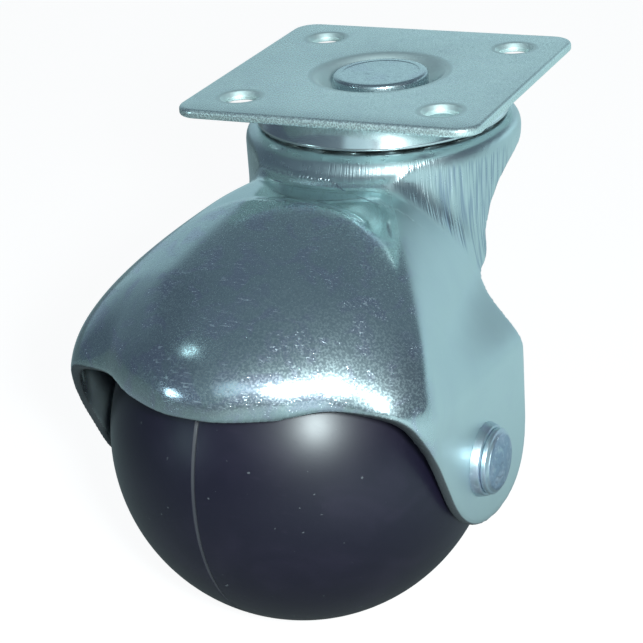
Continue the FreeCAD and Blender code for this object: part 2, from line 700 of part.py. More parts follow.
def make_upper_balls():
    """Balls that carry the load, seated in the crown's groove."""
    ring = ball_ring("upper_balls", "upper_ball_dia", UPPER_PITCH, UPPER_BALL_Z, "upper_ball_count")
    turn_with_fork(ring)
    return ring


def make_lower_balls():
    """Balls that keep the fork from dropping, seated in the lower race."""
    return ball_ring("lower_balls", "lower_ball_dia", LOWER_PITCH, LOWER_BALL_Z, "lower_ball_count")


def check_document(pieces):
    """Stops on any failed feature or bad solid."""
    for item in document.Objects:
        if "Invalid" in item.State or "Error" in item.State:
            raise RuntimeError(f"{item.Name} failed: {item.State}")
    for piece in pieces:
        if piece.Shape.isNull() or not piece.Shape.isValid() or not piece.Shape.Solids:
            raise RuntimeError(f"{piece.Label} has no valid solid")


def main():
    """Builds every piece, checks it and writes one file for each."""
    pieces = [
        make_top_plate(),
        make_kingpin(),
        make_upper_race(),
        make_upper_balls(),
        make_hood_fork(),
        make_lower_balls(),
        make_lower_race(),
        make_wheel_half("left"),
        make_wheel_half("right"),
        make_spanner_bush(),
        make_axle_rivet(),
        make_axle_washer("left"),
        make_axle_washer("right"),
    ]
    document.recompute()
    check_document(pieces)
    os.makedirs("parts", exist_ok=True)
    for piece in pieces:
        piece.Shape.exportStep(f"parts/{piece.Label}.step")
        solids = len(piece.Shape.Solids)
        print(f"{piece.Label}: {solids} solid(s), {piece.Shape.Volume:.1f} cubic mm")


main()
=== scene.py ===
"""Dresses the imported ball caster: plated hood, screw plate, swivel races and black ball, in studio light.

Lengths inside the classes are millimetres in the part's own frame. Each finished mesh is in metres.
"""

from __future__ import annotations

import logging
import math
from dataclasses import asdict, dataclass, field
from enum import Enum
from typing import Any, Callable, Iterable, Sequence, Union

import bmesh
import bpy
from mathutils import Matrix, Vector
from mathutils.geometry import delaunay_2d_cdt

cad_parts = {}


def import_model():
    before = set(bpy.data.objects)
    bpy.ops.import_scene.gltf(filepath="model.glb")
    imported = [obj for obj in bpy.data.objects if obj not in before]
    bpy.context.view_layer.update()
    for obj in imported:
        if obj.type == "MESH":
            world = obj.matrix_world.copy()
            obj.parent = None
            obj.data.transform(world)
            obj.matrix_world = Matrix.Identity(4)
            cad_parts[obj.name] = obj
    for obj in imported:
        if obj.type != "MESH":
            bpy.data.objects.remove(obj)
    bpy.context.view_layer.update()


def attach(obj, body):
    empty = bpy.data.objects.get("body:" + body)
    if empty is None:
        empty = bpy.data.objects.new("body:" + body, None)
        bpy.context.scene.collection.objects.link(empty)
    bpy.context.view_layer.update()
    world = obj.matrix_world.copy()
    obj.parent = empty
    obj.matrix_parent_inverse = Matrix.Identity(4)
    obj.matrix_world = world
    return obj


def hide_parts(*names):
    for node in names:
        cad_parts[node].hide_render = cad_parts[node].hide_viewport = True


LOG = logging.getLogger("ball_caster")
MM = 0.001
PHOTO_SIDE = 643
SHARP_ANGLE = math.radians(32.0)
STRAIGHT_ANGLE = math.radians(179.0)
MERGE = 1e-4
EDGE_DISTANCE = "edge_distance"
FLANK_SIDE = "flank_side"
FORK_TURN = 4.0
BALL_SEGMENTS = 24
BALL_RINGS = 14
SCRATCH_LEVEL = (0.68, 0.74)
SCRATCH_TURNS = ((10, 25, 30), (60, -20, 100), (-35, 15, 70))
RUB_TURNS = ((80, 10, 20), (20, 70, -40))

Color = tuple[float, float, float]
Number = Union["Value", float, int]
Span = tuple[float, float]
Profile = list[Span]
Socket = bpy.types.NodeSocket
Material = bpy.types.Material
Mesh = bpy.types.Mesh
Work = bmesh.types.BMesh


class Body(Enum):
    """Rigid bodies of the caster."""

    PLATE = "plate"
    FORK = "fork"
    WHEEL = "wheel"


class Slot(Enum):
    """Finishes of the record."""

    ZINC_SHEET = "zinc_sheet"
    ZINC_HOOD = "zinc_hood"
    BRIGHT_RACE = "bright_race"
    ZINC_PIN = "zinc_pin"
    BEARING_STEEL = "bearing_steel"
    BLACK_PLASTIC = "black_plastic"


class Side(Enum):
    """Sides of the fork, along the axle."""

    LEFT = -1
    RIGHT = 1


def operator(operation: str, swap: bool = False) -> Callable[[Value, Number], Value]:
    """Makes an operator of two numbers.

    Args:
        operation: the Math node's operation.
        swap: puts the operator's own value second.

    Returns:
        The method that adds the node.
    """

    def add_node(self: Value, other: Number) -> Value:
        """Adds the Math node."""
        return self.math(operation, other, swap=swap)

    return add_node


class Value:
    """A number socket that takes Python's operators and adds Math nodes."""

    def __init__(self, graph: Graph, socket: Socket) -> None:
        """Wraps a socket of the graph."""
        self.graph = graph
        self.socket = socket

    def math(self, operation: str, *others: Number, swap: bool = False) -> Value:
        """Adds a Math node on this value.

        Args:
            operation: the Math node's operation.
            others: the second operand, where the operation has one.
            swap: puts this value second.

        Returns:
            The node's result.
        """
        operands = [self, *others]
        if swap:
            operands.reverse()
        inputs = dict(zip(("Value", "Value_001"), operands))
        node = self.graph.node("ShaderNodeMath", {"operation": operation}, inputs)
        return Value(self.graph, node.outputs[0])

    __add__ = __radd__ = operator("ADD")
    __sub__ = operator("SUBTRACT")
    __rsub__ = operator("SUBTRACT", swap=True)
    __mul__ = __rmul__ = operator("MULTIPLY")
    __truediv__ = operator("DIVIDE")
    __rtruediv__ = operator("DIVIDE", swap=True)
    __pow__ = operator("POWER")
    least = operator("MINIMUM")
    most = operator("MAXIMUM")

    def __neg__(self) -> Value:
        """Negative."""
        return self.math("MULTIPLY", -1.0)

    def __abs__(self) -> Value:
        """Size without its sign."""
        return self.math("ABSOLUTE")

    def root(self) -> Value:
        """Square root."""
        return self.math("SQRT")

    def clamped(self) -> Value:
        """Value held between 0 and 1."""
        return self.most(0.0).least(1.0)

    def ramp(self, low: Number, high: Number) -> Value:
        """Smooth step from 0 at low to 1 at high."""
        share = ((self - low) / (high - low)).clamped()
        return share * share * (3.0 - 2.0 * share)


def band(value: Value, rise: Span, fall: Span) -> Value:
    """Share that rises over one span and falls over another."""
    return value.ramp(*rise) * (1.0 - value.ramp(*fall))


def length_of(a: Value, b: Value) -> Value:
    """Length of the flat vector (a, b)."""
    return (a * a + b * b).root()


def blend_gap(a: Value, b: Value, radius: Number, turn: float) -> Value:
    """How far a rounding moves the edge between two distance fields.

    Args:
        a: first field.
        b: second field.
        radius: radius of the rounding.
        turn: degrees that the outline turns at that edge.

    Returns:
        The distance, which fades to 0 away from the edge.
    """
    width = 4.0 * (1.0 - math.cos(math.radians(turn) / 2.0)) * radius
    share = (width - abs(a - b)).most(0.0)
    return share * share / (width * 4.0)


def round_union(a: Value, b: Value, radius: Number, turn: float = 90.0) -> Value:
    """Joins two distance fields and fills the corner between them with a fillet."""
    return a.least(b) - blend_gap(a, b, radius, turn)


def round_cut(a: Value, b: Value, radius: Number, turn: float = 90.0) -> Value:
    """Keeps what two distance fields share and rounds the edge between them."""
    return a.most(b) + blend_gap(a, b, radius, turn)


class Graph:
    """A node tree that is written as expressions."""

    def __init__(self, tree: bpy.types.NodeTree) -> None:
        """Starts on a tree."""
        self.tree = tree

    @staticmethod
    def socket(sockets: Iterable[Socket], key: str) -> Socket:
        """Finds a socket by its identifier, or else by its name.

        Args:
            sockets: a node's inputs or outputs.
            key: identifier or name.

        Returns:
            The first that fits.
        """
        found = list(sockets)
        exact = [item for item in found if item.identifier == key]
        return (exact or [item for item in found if item.name == key])[0]

    def node(
        self,
        kind: str,
        settings: dict[str, Any] | None = None,
        inputs: dict[str, Any] | None = None,
    ) -> bpy.types.Node:
        """Adds a node.

        Args:
            kind: the node's type.
            settings: properties, set before any socket.
            inputs: values or links of sockets.

        Returns:
            The node.
        """
        node = self.tree.nodes.new(kind)
        for key, setting in (settings or {}).items():
            setattr(node, key, setting)
        for key, item in (inputs or {}).items():
            self.feed(self.socket(node.inputs, key), item)
        return node

    def feed(self, socket: Socket, item: Any) -> None:
        """Links a socket to a value or to another socket, or else sets it.

        Args:
            socket: the input.
            item: value, socket or plain setting.
        """
        if isinstance(item, Value):
            item = item.socket
        if isinstance(item, Socket):
            self.tree.links.new(item, socket)
        else:
            socket.default_value = item

    def value(self, socket: Socket) -> Value:
        """Wraps a socket."""
        return Value(self, socket)

    def axes(self, vector: Socket) -> tuple[Value, Value, Value]:
        """Splits a vector into its three numbers."""
        node = self.node("ShaderNodeSeparateXYZ", None, {"Vector": vector})
        return tuple(Value(self, output) for output in node.outputs)

    def vector(self, x: Number, y: Number, z: Number) -> Socket:
        """Joins three numbers into a vector."""
        return self.node("ShaderNodeCombineXYZ", None, {"X": x, "Y": y, "Z": z}).outputs[0]

    def mix(self, share: Number, first: Any, second: Any) -> Socket:
        """Blends two colours.

        Args:
            share: share of the second colour.
            first: first colour.
            second: second colour.

        Returns:
            The blend.
        """
        inputs = {"Factor_Float": share, "A_Color": opaque(first), "B_Color": opaque(second)}
        node = self.node("ShaderNodeMix", {"data_type": "RGBA"}, inputs)
        return self.socket(node.outputs, "Result_Color")

    def noise(self, vector: Socket, grain: float, detail: float = 2.0, warp: float = 0.0) -> Value:
        """Cloudy noise.

        Args:
            vector: coordinates in millimetres.
            grain: size of a cloud in millimetres.
            detail: finer layers.
            warp: distortion of the clouds.

        Returns:
            A value about 0.5.
        """
        inputs = {"Vector": vector, "Scale": 1.0 / grain, "Detail": detail, "Distortion": warp}
        return Value(self, self.node("ShaderNodeTexNoise", None, inputs).outputs[0])

    def cells(self, vector: Socket, grain: float) -> Value:
        """Crystal cells of about one size, each with its own even value from 0 to 1.

        Args:
            vector: coordinates in millimetres.
            grain: size of a cell in millimetres.

        Returns:
            The cell's value.
        """
        inputs = {"Vector": vector, "Scale": 1.0 / grain}
        node = self.node("ShaderNodeTexVoronoi", None, inputs)
        return self.axes(self.socket(node.outputs, "Color"))[0]


def opaque(color: Any) -> Any:
    """Adds alpha to a plain colour and passes a socket through.

    Args:
        color: three numbers, or a socket.

    Returns:
        Four numbers, or the socket.
    """
    if isinstance(color, (Socket, Value)):
        return color
    return (*color, 1.0)


class SurfaceGraph(Graph):
    """Nodes of one material, on the piece's own coordinates in millimetres."""

    def __init__(self, name: str) -> None:
        """Starts a material with one Principled shader.

        Args:
            name: name of the material.
        """
        self.material = bpy.data.materials.new(name)
        self.material.use_nodes = True
        super().__init__(self.material.node_tree)
        self.tree.nodes.clear()
        self.shader = self.node("ShaderNodeBsdfPrincipled")
        self.output = self.node("ShaderNodeOutputMaterial")
        self.tree.links.new(self.shader.outputs[0], self.output.inputs["Surface"])
        place = self.node("ShaderNodeTexCoord").outputs["Object"]
        inputs = {"Vector": place, "Scale": 1.0 / MM}
        self.place = self.node("ShaderNodeVectorMath", {"operation": "SCALE"}, inputs).outputs[0]

    def attribute(self, name: str) -> Value:
        """Reads a number that the mesh carries."""
        return self.value(self.node("ShaderNodeAttribute", {"attribute_name": name}).outputs["Fac"])

    def turned(self, turn: Sequence[float], stretch: Sequence[float]) -> Socket:
        """Turns the coordinates by angles in degrees and stretches them.

        Args:
            turn: angles about X, Y and Z.
            stretch: factors along X, Y and Z.

        Returns:
            The new coordinates.
        """
        angles = [math.radians(angle) for angle in turn]
        inputs = {"Vector": self.place, "Rotation": angles, "Scale": stretch}
        return self.node("ShaderNodeMapping", None, inputs).outputs[0]

    def fork_axes(self) -> tuple[Value, Value, Value]:
        """Coordinates along the fork's own axes."""
        return self.axes(self.turned((0.0, 0.0, FORK_TURN), (1.0, 1.0, 1.0)))

    def scratches(self, turns: Sequence[Sequence[float]], reach: float, grain: float) -> Value:
        """Fine straight scratches.

        Args:
            turns: angles of each set of scratches.
            reach: length of a scratch in millimetres.
            grain: distance between scratches in millimetres.

        Returns:
            1 in a scratch and 0 elsewhere.
        """
        marks: Value | None = None
        for turn in turns:
            along = self.turned(turn, (grain / reach, 1.0, 1.0))
            line = self.noise(along, grain, 1.0).ramp(*SCRATCH_LEVEL)
            marks = line if marks is None else marks.most(line)
        return marks

    def dress(self, color: Any, roughness: Number, metallic: float) -> None:
        """Sets the shader's main sockets.

        Args:
            color: base colour.
            roughness: roughness.
            metallic: 1 for metal and 0 for plastic.
        """
        self.feed(self.shader.inputs["Base Color"], opaque(color))
        self.feed(self.shader.inputs["Roughness"], roughness)
        self.shader.inputs["Metallic"].default_value = metallic

    def cover(self, share: Number, shader: bpy.types.Node) -> None:
        """Blends a second shader into the first.

        Args:
            share: share of the second shader.
            shader: the second shader.
        """
        blend = self.node("ShaderNodeMixShader", None, {"Fac": share})
        self.tree.links.new(self.shader.outputs[0], blend.inputs[1])
        self.tree.links.new(shader.outputs[0], blend.inputs[2])
        self.tree.links.new(blend.outputs[0], self.output.inputs["Surface"])

    def haze(self, share: Number, roughness: float) -> None:
        """Blends in a second, rougher shine of the same colour and normal.

        Args:
            share: share of the rougher shine.
            roughness: its roughness.
        """
        rough = self.node("ShaderNodeBsdfPrincipled", None, {"Metallic": 1.0, "Roughness": roughness})
        for key in ("Base Color", "Normal"):
            for link in self.shader.inputs[key].links:
                self.tree.links.new(link.from_socket, rough.inputs[key])
        self.cover(share, rough)

    def bump(self, height: Value) -> None:
        """Raises the surface by a height in millimetres.

        Args:
            height: the height.
        """
        inputs = {"Height": height, "Distance": MM, "Strength": 1.0}
        node = self.node("ShaderNodeBump", None, inputs)
        self.tree.links.new(node.outputs[0], self.shader.inputs["Normal"])


@dataclass(frozen=True)
class HoodForm:
    """Sizes of the drawn hood, in the fork's own axes: x along the axle, y back, z up."""

    sheet: float = 1.4
    crown_top: float = -5.81
    neck_radius: float = 18.6
    neck_round: float = 2.0
    neck_fillet: float = 2.2
    crown_bore: float = 4.5
    groove_radius: float = 2.23
    groove_pitch: float = 14.0
    groove_level: float = -4.66
    shoulder_top: float = -9.01
    shoulder_front: float = -25.8
    shoulder_half: float = 9.5
    shoulder_back: float = 8.0
    shoulder_round: float = 2.6
    ear_top: float = -30.0
    ear_outer: float = 25.7
    bend_y: float = -41.0
    bend_radius: float = 1.6
    nose_y: float = -57.0
    side_fullness: float = 2.1
    nose_fullness: float = 2.6
    toe_in: float = 12.0
    toe_start: float = 0.6
    step_y: float = -25.5
    step_flat: float = 6.5
    step_curl: float = 0.06
    step_width: float = 0.8
    step_sink: float = 0.4
    step_inner: float = 8.0
    step_outer: float = 13.0
    step_foot: float = 19.6
    step_start: float = 20.8
    step_back: float = -10.0
    arch_top: float = -9.81
    arch_front: float = -6.0
    arch_radius: float = 10.5
    waist_z: float = -22.3
    waist_step: float = 1.9
    waist_round: float = 2.2
    ear_back: float = -13.98
    ear_crest: float = 6.5
    ear_foot: float = -49.35
    ear_toe: float = -32.72
    ear_round: float = 8.42
    toe_round: float = 15.53
    peak_y: float = -46.03
    peak_z: float = -24.41
    peak_round: float = 7.03
    lip_y: float = -50.9
    lip_z: float = -26.44
    rim_round: float = 5.0
    waist_roll: float = 0.3
    waist_reach: float = 4.2
    nose_roll: float = 2.2
    rim_roll: float = 3.2
    rim_reach: float = 11.0
    roll_middle: float = 2.0
    roll_corner: float = 11.0
    roll_fade: float = 14.5
    roll_end: float = 24.0
    roll_low: float = -32.0
    roll_high: float = -26.0
    roll_back: float = -34.0
    roll_front: float = -41.0
    edge_round: float = 0.45
    axle_y: float = -27.6
    axle_z: float = -39.9
    axle_hole: float = 2.98


@dataclass(frozen=True)
class Marks:
    """What the making left on a surface.

    The height is in millimetres. The others are shares of dark, satin, raw and polished metal. Dark is
    painted shade in the hood's drawing marks and dark plating on peened faces; satin metal is also painted
    paler with painted light.
    """

    height: Number = 0.0
    dark: Number = 0.0
    satin: Number = 0.0
    raw: Number = 0.0
    polish: Number = 0.0


@dataclass(frozen=True)
class ZincFinish:
    """Bright zinc plating with cloudy tarnish, crystal grain, matt specks and fine scratches."""

    name: str
    pale: Color = (0.68, 0.79, 0.80)
    shade: Color = (0.54, 0.65, 0.68)
    violet: Color = (0.60, 0.64, 0.76)
    violet_share: float = 0.75
    cut: Color = (0.17, 0.18, 0.19)
    # Dark blue of the darkest marks: painted shade in the hood's drawing marks, dark plating on peened
    # faces.
    dark_blue_and_painted_shade: Color = (0.34, 0.42, 0.54)
    polish: float = 0.0
    cloud: float = 7.0
    patch_level: Span = (0.46, 0.66)
    grain: float = 0.6
    matt_level: Span = (0.36, 0.70)
    smooth: float = 0.12
    rough: float = 0.18
    satin_rough: float = 0.46
    haze: float = 0.24
    haze_rough: float = 0.50
    depth: float = 0.004
    scratch_reach: float = 2.2
    scratch_pitch: float = 0.2
    scratch_depth: float = 0.02
    scratch_shine: float = 0.5

    def marks(self, graph: SurfaceGraph) -> Marks:
        """What the making left on this piece."""
        return Marks(polish=self.polish)

    def material(self) -> Material:
        """Builds the material.

        Returns:
            The material.
        """
        graph = SurfaceGraph(self.name)
        marks = self.marks(graph)
        lively = (1.0 - marks.satin * 0.8) * (1.0 - marks.polish * 0.85)
        cloud = graph.noise(graph.place, self.cloud, 3.0, 0.6)
        patch = graph.noise(graph.place, self.cloud * 0.5, 2.0, 0.8).ramp(*self.patch_level)
        grain = graph.noise(graph.place, self.grain, 2.0) * lively
        crystal = graph.cells(graph.place, self.grain) * lively
        matt = graph.noise(graph.place, self.grain * 0.45, 1.0).ramp(*self.matt_level) * lively
        lines = graph.scratches(SCRATCH_TURNS, self.scratch_reach, self.scratch_pitch) * patch * lively
        # The marks' dark share darkens the tone: painted shade in the hood's drawing marks, dark plating on
        # peened faces.
        share = (cloud + crystal * 0.2 + grain * 0.35 - 0.35 + marks.dark).clamped()
        color = graph.mix(share, self.pale, self.shade)
        color = graph.mix(patch * self.violet_share * lively, color, self.violet)
        color = graph.mix(lines * 0.4, color, self.pale)
        # The darkest marks turn dark blue, which is painted shade on the hood and dark plating on peened
        # faces.
        if isinstance(marks.dark, Value):
            color = graph.mix((marks.dark - 0.5).clamped(), color, self.dark_blue_and_painted_shade)
        # Satin metal is rougher and is also painted paler: painted light that lifts the plate's dish and
        # hole mouths and the hood's flanks and neck.
        if isinstance(marks.satin, Value):
            color = graph.mix(marks.satin * 0.6, color, self.pale)
        if isinstance(marks.raw, Value):
            color = graph.mix(marks.raw, color, self.cut)
        roughness = self.smooth + crystal * 0.04 + matt * (self.rough - self.smooth) + lines * 0.08
        roughness = roughness + marks.satin * (self.satin_rough - self.smooth) + marks.raw * 0.25
        graph.dress(color, roughness, 1.0)
        relief = (grain * 0.6 + crystal * 0.2 - matt * 0.3) * self.depth - lines * self.scratch_depth
        graph.bump(relief + marks.height)
        haze = (matt * 0.8 + 0.6) * (1.0 - marks.polish * 0.5) * self.haze
        graph.haze((haze + lines * self.scratch_shine).clamped(), self.haze_rough)
        return graph.material


@dataclass(frozen=True)
class PlateFinish(ZincFinish):
    """Zinc plating on the screw plate, satin where the dish and the hole mouths were pressed, and painted
    paler there with painted light.
    """

    dish: Span = (9.1, 9.9)
    hole_place: float = 14.0
    mouth: Span = (2.7, 3.5)

    def marks(self, graph: SurfaceGraph) -> Marks:
        """Satin metal in the dish and round the holes, also painted paler with painted light.

        Args:
            graph: the material's graph.

        Returns:
            The marks.
        """
        x, y, _ = graph.axes(graph.place)
        dish = 1.0 - length_of(x, y).ramp(*self.dish)
        hole = length_of(abs(x) - self.hole_place, abs(y) - self.hole_place)
        return Marks(satin=dish.most(1.0 - hole.ramp(*self.mouth)))


@dataclass(frozen=True)
class HoodFinish(ZincFinish):
    """Zinc plating on the hood, with the marks of its drawing press, painted shade in their valleys, satin
    flanks painted paler with painted light, and raw cut edges.
    """

    form: HoodForm = HoodForm()
    arch_sides: Span = (12.5, 15.5)
    raw_edge: Span = (-0.34, -0.14)
    flank: Span = (-0.7, 0.7)
    torn_grain: float = 0.3
    torn_depth: float = 0.12
    neck_line: float = 19.4
    neck_step: float = 0.11
    neck_satin: float = 0.45
    neck_polish: float = 0.6
    line_leaves: Span = (4.0, 26.0)
    line_ends: Span = (33.0, 40.0)
    line_reach: float = 4.2
    line_grain: float = 0.5
    line_sway: float = 0.7
    line_half: float = 0.15
    draw_pitch: float = 0.42
    draw_depth: float = 0.16
    # Strength of the painted shade in the deep marks' valleys.
    draw_painted_shade: float = 9.0
    draw_level: float = 0.55
    draw_stretch: float = 0.05
    deep_rise: Span = (34.0, 54.0)
    deep_fall: Span = (84.0, 96.0)
    deep_top: Span = (-8.8, -7.4)
    fine_pitch: float = 0.21
    fine_depth: float = 0.05
    fine_rise: Span = (-95.0, -60.0)
    fine_fall: Span = (42.0, 58.0)
    fine_top: Span = (-6.8, -6.2)

    def marks(self, graph: SurfaceGraph) -> Marks:
        """Ragged line round the neck's foot, drawing marks with painted shade, satin flanks and neck
        painted paler with painted light, polished shoulder and cut edges.

        Args:
            graph: the material's graph.

        Returns:
            The marks.
        """
        x, y, z = graph.fork_axes()
        radius = length_of(x, y)
        around = x.math("ARCTAN2", -y)
        raw = graph.attribute(EDGE_DISTANCE).ramp(*self.raw_edge)
        torn = graph.noise(graph.place, self.torn_grain, 2.0) * raw * self.torn_depth
        strokes, dark = self.draws(graph, radius, around, z)
        height = strokes + torn + self.foot(graph, radius, around)
        off_neck = self.off_neck(radius)
        on_neck = 1.0 - off_neck
        # Satin flanks and neck: rougher metal, also painted paler with painted light.
        satin = graph.attribute(FLANK_SIDE).ramp(*self.flank) * off_neck + on_neck * self.neck_satin
        polish = self.behind(x, y).most(on_neck * self.neck_polish)
        return Marks(height, dark, satin, raw, polish)

    def off_neck(self, radius: Value) -> Value:
        """Share of a place outside the neck and its fillet."""
        return radius.ramp(self.form.step_foot, self.form.step_start)

    def behind(self, x: Value, y: Value) -> Value:
        """Share of a place behind the arch, where the shoulder was pressed smooth.

        Args:
            x: place along the axle.
            y: place from front to back.

        Returns:
            1 behind the arch and 0 elsewhere.
        """
        form = self.form
        bend = (abs(x) - form.step_flat).most(0.0)
        past = y - form.step_y + bend * bend * form.step_curl
        return past.ramp(-form.step_width, form.step_width) * (1.0 - abs(x).ramp(*self.arch_sides))

    def foot(self, graph: SurfaceGraph, radius: Value, around: Value) -> Value:
        """Ragged line where the neck's fillet runs out, which leaves the neck on the right.

        Args:
            graph: the material's graph.
            radius: distance from the swivel axis.
            around: angle from the hood's front.

        Returns:
            Height of the metal inside the line.
        """
        ragged = graph.noise(graph.vector(around * self.neck_line, 0.0, 0.0), self.line_grain, 1.0)
        degrees = around * math.degrees(1.0)
        line = self.neck_line + degrees.ramp(*self.line_leaves) * self.line_reach
        out = radius + (ragged - 0.5) * self.line_sway - line
        left = 1.0 - degrees.ramp(*self.line_ends)
        return (1.0 - out.ramp(-self.line_half, self.line_half)) * left * self.neck_step

    def draws(self, graph: SurfaceGraph, radius: Value, around: Value, z: Value) -> tuple[Value, Value]:
        """Upright drawing marks: fine ones round the neck's front and deep ones down its right side, with
        painted shade in their valleys and paler painted light on their ridges.

        Args:
            graph: the material's graph.
            radius: distance from the swivel axis.
            around: angle from the hood's front.
            z: height.

        Returns:
            Height of the marks, and share of painted shade in them, negative on their ridges.
        """
        along = graph.vector(around * self.neck_line, z * self.draw_stretch, 0.0)
        deep = graph.noise(along, self.draw_pitch, 1.0)
        fine = graph.noise(along, self.fine_pitch, 1.0)
        degrees = around * math.degrees(1.0)
        foot = 1.0 - self.off_neck(radius)
        right = band(degrees, self.deep_rise, self.deep_fall) * foot * (1.0 - z.ramp(*self.deep_top))
        front = band(degrees, self.fine_rise, self.fine_fall) * foot * (1.0 - z.ramp(*self.fine_top))
        height = deep * right * self.draw_depth + fine * front * self.fine_depth
        # Painted shade: darker in the deep marks' valleys, paler on their ridges.
        return height, (self.draw_level - deep) * right * self.draw_painted_shade


@dataclass(frozen=True)
class PeenFinish(ZincFinish):
    """Zinc plated rivet whose ends were hammered over and darkened."""

    form: HoodForm = HoodForm()
    face: Span = (27.45, 27.65)
    face_edge: Span = (3.3, 3.7)
    dent_size: float = 0.9
    dent_depth: float = 0.22
    dent_level: Span = (0.3, 0.6)
    face_dark: float = 0.3

    def marks(self, graph: SurfaceGraph) -> Marks:
        """Hammer dents and dark plating on both end faces.

        Args:
            graph: the material's graph.

        Returns:
            The marks.
        """
        x, y, z = graph.fork_axes()
        radius = length_of(y - self.form.axle_y, z - self.form.axle_z)
        face = abs(x).ramp(*self.face) * (1.0 - radius.ramp(*self.face_edge))
        dents = graph.noise(graph.place, self.dent_size, 2.0, 0.8)
        dark = dents.ramp(*self.dent_level) * (1.0 - self.face_dark) + self.face_dark
        return Marks(dents * face * self.dent_depth, face * dark)


@dataclass(frozen=True)
class PlasticFinish:
    """Moulded black plastic with a soft sheen, rub marks and a few light specks."""

    name: str
    black: Color = (0.005, 0.003, 0.014)
    worn: Color = (0.014, 0.009, 0.025)
    speck: Color = (0.16, 0.17, 0.18)
    seam_color: Color = (0.045, 0.045, 0.052)
    seam_place: float = -1.5
    seam_half: float = 0.30
    cloud: float = 9.0
    worn_level: Span = (0.42, 0.75)
    worn_share: float = 0.6
    grain: float = 0.35
    dot: float = 0.55
    dot_level: Span = (0.84, 0.87)
    dot_share: float = 0.5
    rub_reach: float = 4.0
    rub_pitch: float = 0.5
    rub_share: float = 0.25
    depth: float = 0.012
    rough: float = 0.42
    cloud_rough: float = 0.16
    rub_rough: float = 0.1
    specular: float = 0.2
    coat: float = 0.85
    coat_rough: float = 0.36

    def material(self) -> Material:
        """Builds the material.

        Returns:
            The material.
        """
        graph = SurfaceGraph(self.name)
        cloud = graph.noise(graph.place, self.cloud, 4.0, 0.8)
        grain = graph.noise(graph.place, self.grain, 2.0)
        rubs = graph.scratches(RUB_TURNS, self.rub_reach, self.rub_pitch)
        dots = graph.noise(graph.place, self.dot, 0.0).ramp(*self.dot_level)
        worn = cloud.ramp(*self.worn_level) * self.worn_share + rubs * self.rub_share
        color = graph.mix(worn, self.black, self.worn)
        color = graph.mix(dots * self.dot_share, color, self.speck)
        along = graph.fork_axes()[0]
        seam = 1.0 - abs(along - self.seam_place).ramp(self.seam_half * 0.7, self.seam_half)
        color = graph.mix(seam * (cloud * 0.8 + 0.4).clamped(), color, self.seam_color)
        graph.dress(color, self.rough + cloud * self.cloud_rough + rubs * self.rub_rough, 0.0)
        graph.shader.inputs["Specular IOR Level"].default_value = self.specular
        graph.shader.inputs["Coat Weight"].default_value = self.coat
        graph.shader.inputs["Coat Roughness"].default_value = self.coat_rough
        graph.bump((grain * 0.5 + cloud * 0.5 - rubs * 0.2) * self.depth)
        return graph.material


@dataclass(frozen=True)
class BearingFinish:
    """Polished steel of the bearing balls, faintly smeared with grease."""

    name: str
    steel: Color = (0.70, 0.71, 0.72)
    grease: Color = (0.42, 0.40, 0.36)
    smear: float = 1.6
    smear_level: Span = (0.45, 0.7)
    rough: float = 0.10
    smear_rough: float = 0.25

    def material(self) -> Material:
        """Builds the material.

        Returns:
            The material.
        """
        graph = SurfaceGraph(self.name)
        smear = graph.noise(graph.place, self.smear, 3.0, 0.5).ramp(*self.smear_level)
        color = graph.mix(smear, self.steel, self.grease)
        graph.dress(color, self.rough + smear * self.smear_rough, 1.0)
        return graph.material


class Recipe:
    """A geometry node tree with named size inputs, which is turned into a plain mesh."""

    def __init__(self, name: str, sizes: dict[str, float]) -> None:
        """Starts a tree with one input for each size.

        Args:
            name: name of the tree and of the piece.
            sizes: the inputs' names and values.
        """
        self.name = name
        self.sizes = sizes
        self.tree = bpy.data.node_groups.new(name, "GeometryNodeTree")
        self.graph = Graph(self.tree)
        self.keys: dict[str, str] = {}
        for label, size in sizes.items():
            kind = "NodeSocketInt" if isinstance(size, int) else "NodeSocketFloat"
            socket = self.tree.interface.new_socket(label, in_out="INPUT", socket_type=kind)
            self.keys[label] = socket.identifier
        self.tree.interface.new_socket("Mesh", in_out="OUTPUT", socket_type="NodeSocketGeometry")
        self.entry = self.graph.node("NodeGroupInput")

    def size(self, label: str) -> Value:
        """Gives the input of one size."""
        return self.graph.value(self.entry.outputs[label])

    def finish(self, geometry: Socket, material: Material) -> None:
        """Ends the tree: real mesh, smooth faces and its material.

        Args:
            geometry: the tree's result.
            material: its finish.
        """
        smooth = self.graph.node("GeometryNodeSetShadeSmooth", None, {"Geometry": geometry})
        real = self.graph.node("GeometryNodeRealizeInstances", None, {"Geometry": smooth.outputs[0]})
        inputs = {"Geometry": real.outputs[0], "Material": material}
        dressed = self.graph.node("GeometryNodeSetMaterial", None, inputs)
        self.graph.node("NodeGroupOutput", None, {"Mesh": dressed.outputs[0]})

    def plain_mesh(self) -> Mesh:
        """Evaluates the tree once.

        Returns:
            The result as a mesh of its own, in millimetres.
        """
        carrier = bpy.data.objects.new(self.name + "_carrier", bpy.data.meshes.new("carrier"))
        bpy.context.scene.collection.objects.link(carrier)
        modifier = carrier.modifiers.new(self.name, "NODES")
        modifier.node_group = self.tree
        for label, key in self.keys.items():
            modifier[key] = self.sizes[label]
        carrier.update_tag()
        graph = bpy.context.evaluated_depsgraph_get()
        mesh = bpy.data.meshes.new_from_object(carrier.evaluated_get(graph))
        carrier.modifiers.remove(modifier)
        bpy.data.objects.remove(carrier)
        mesh.name = self.name
        return mesh


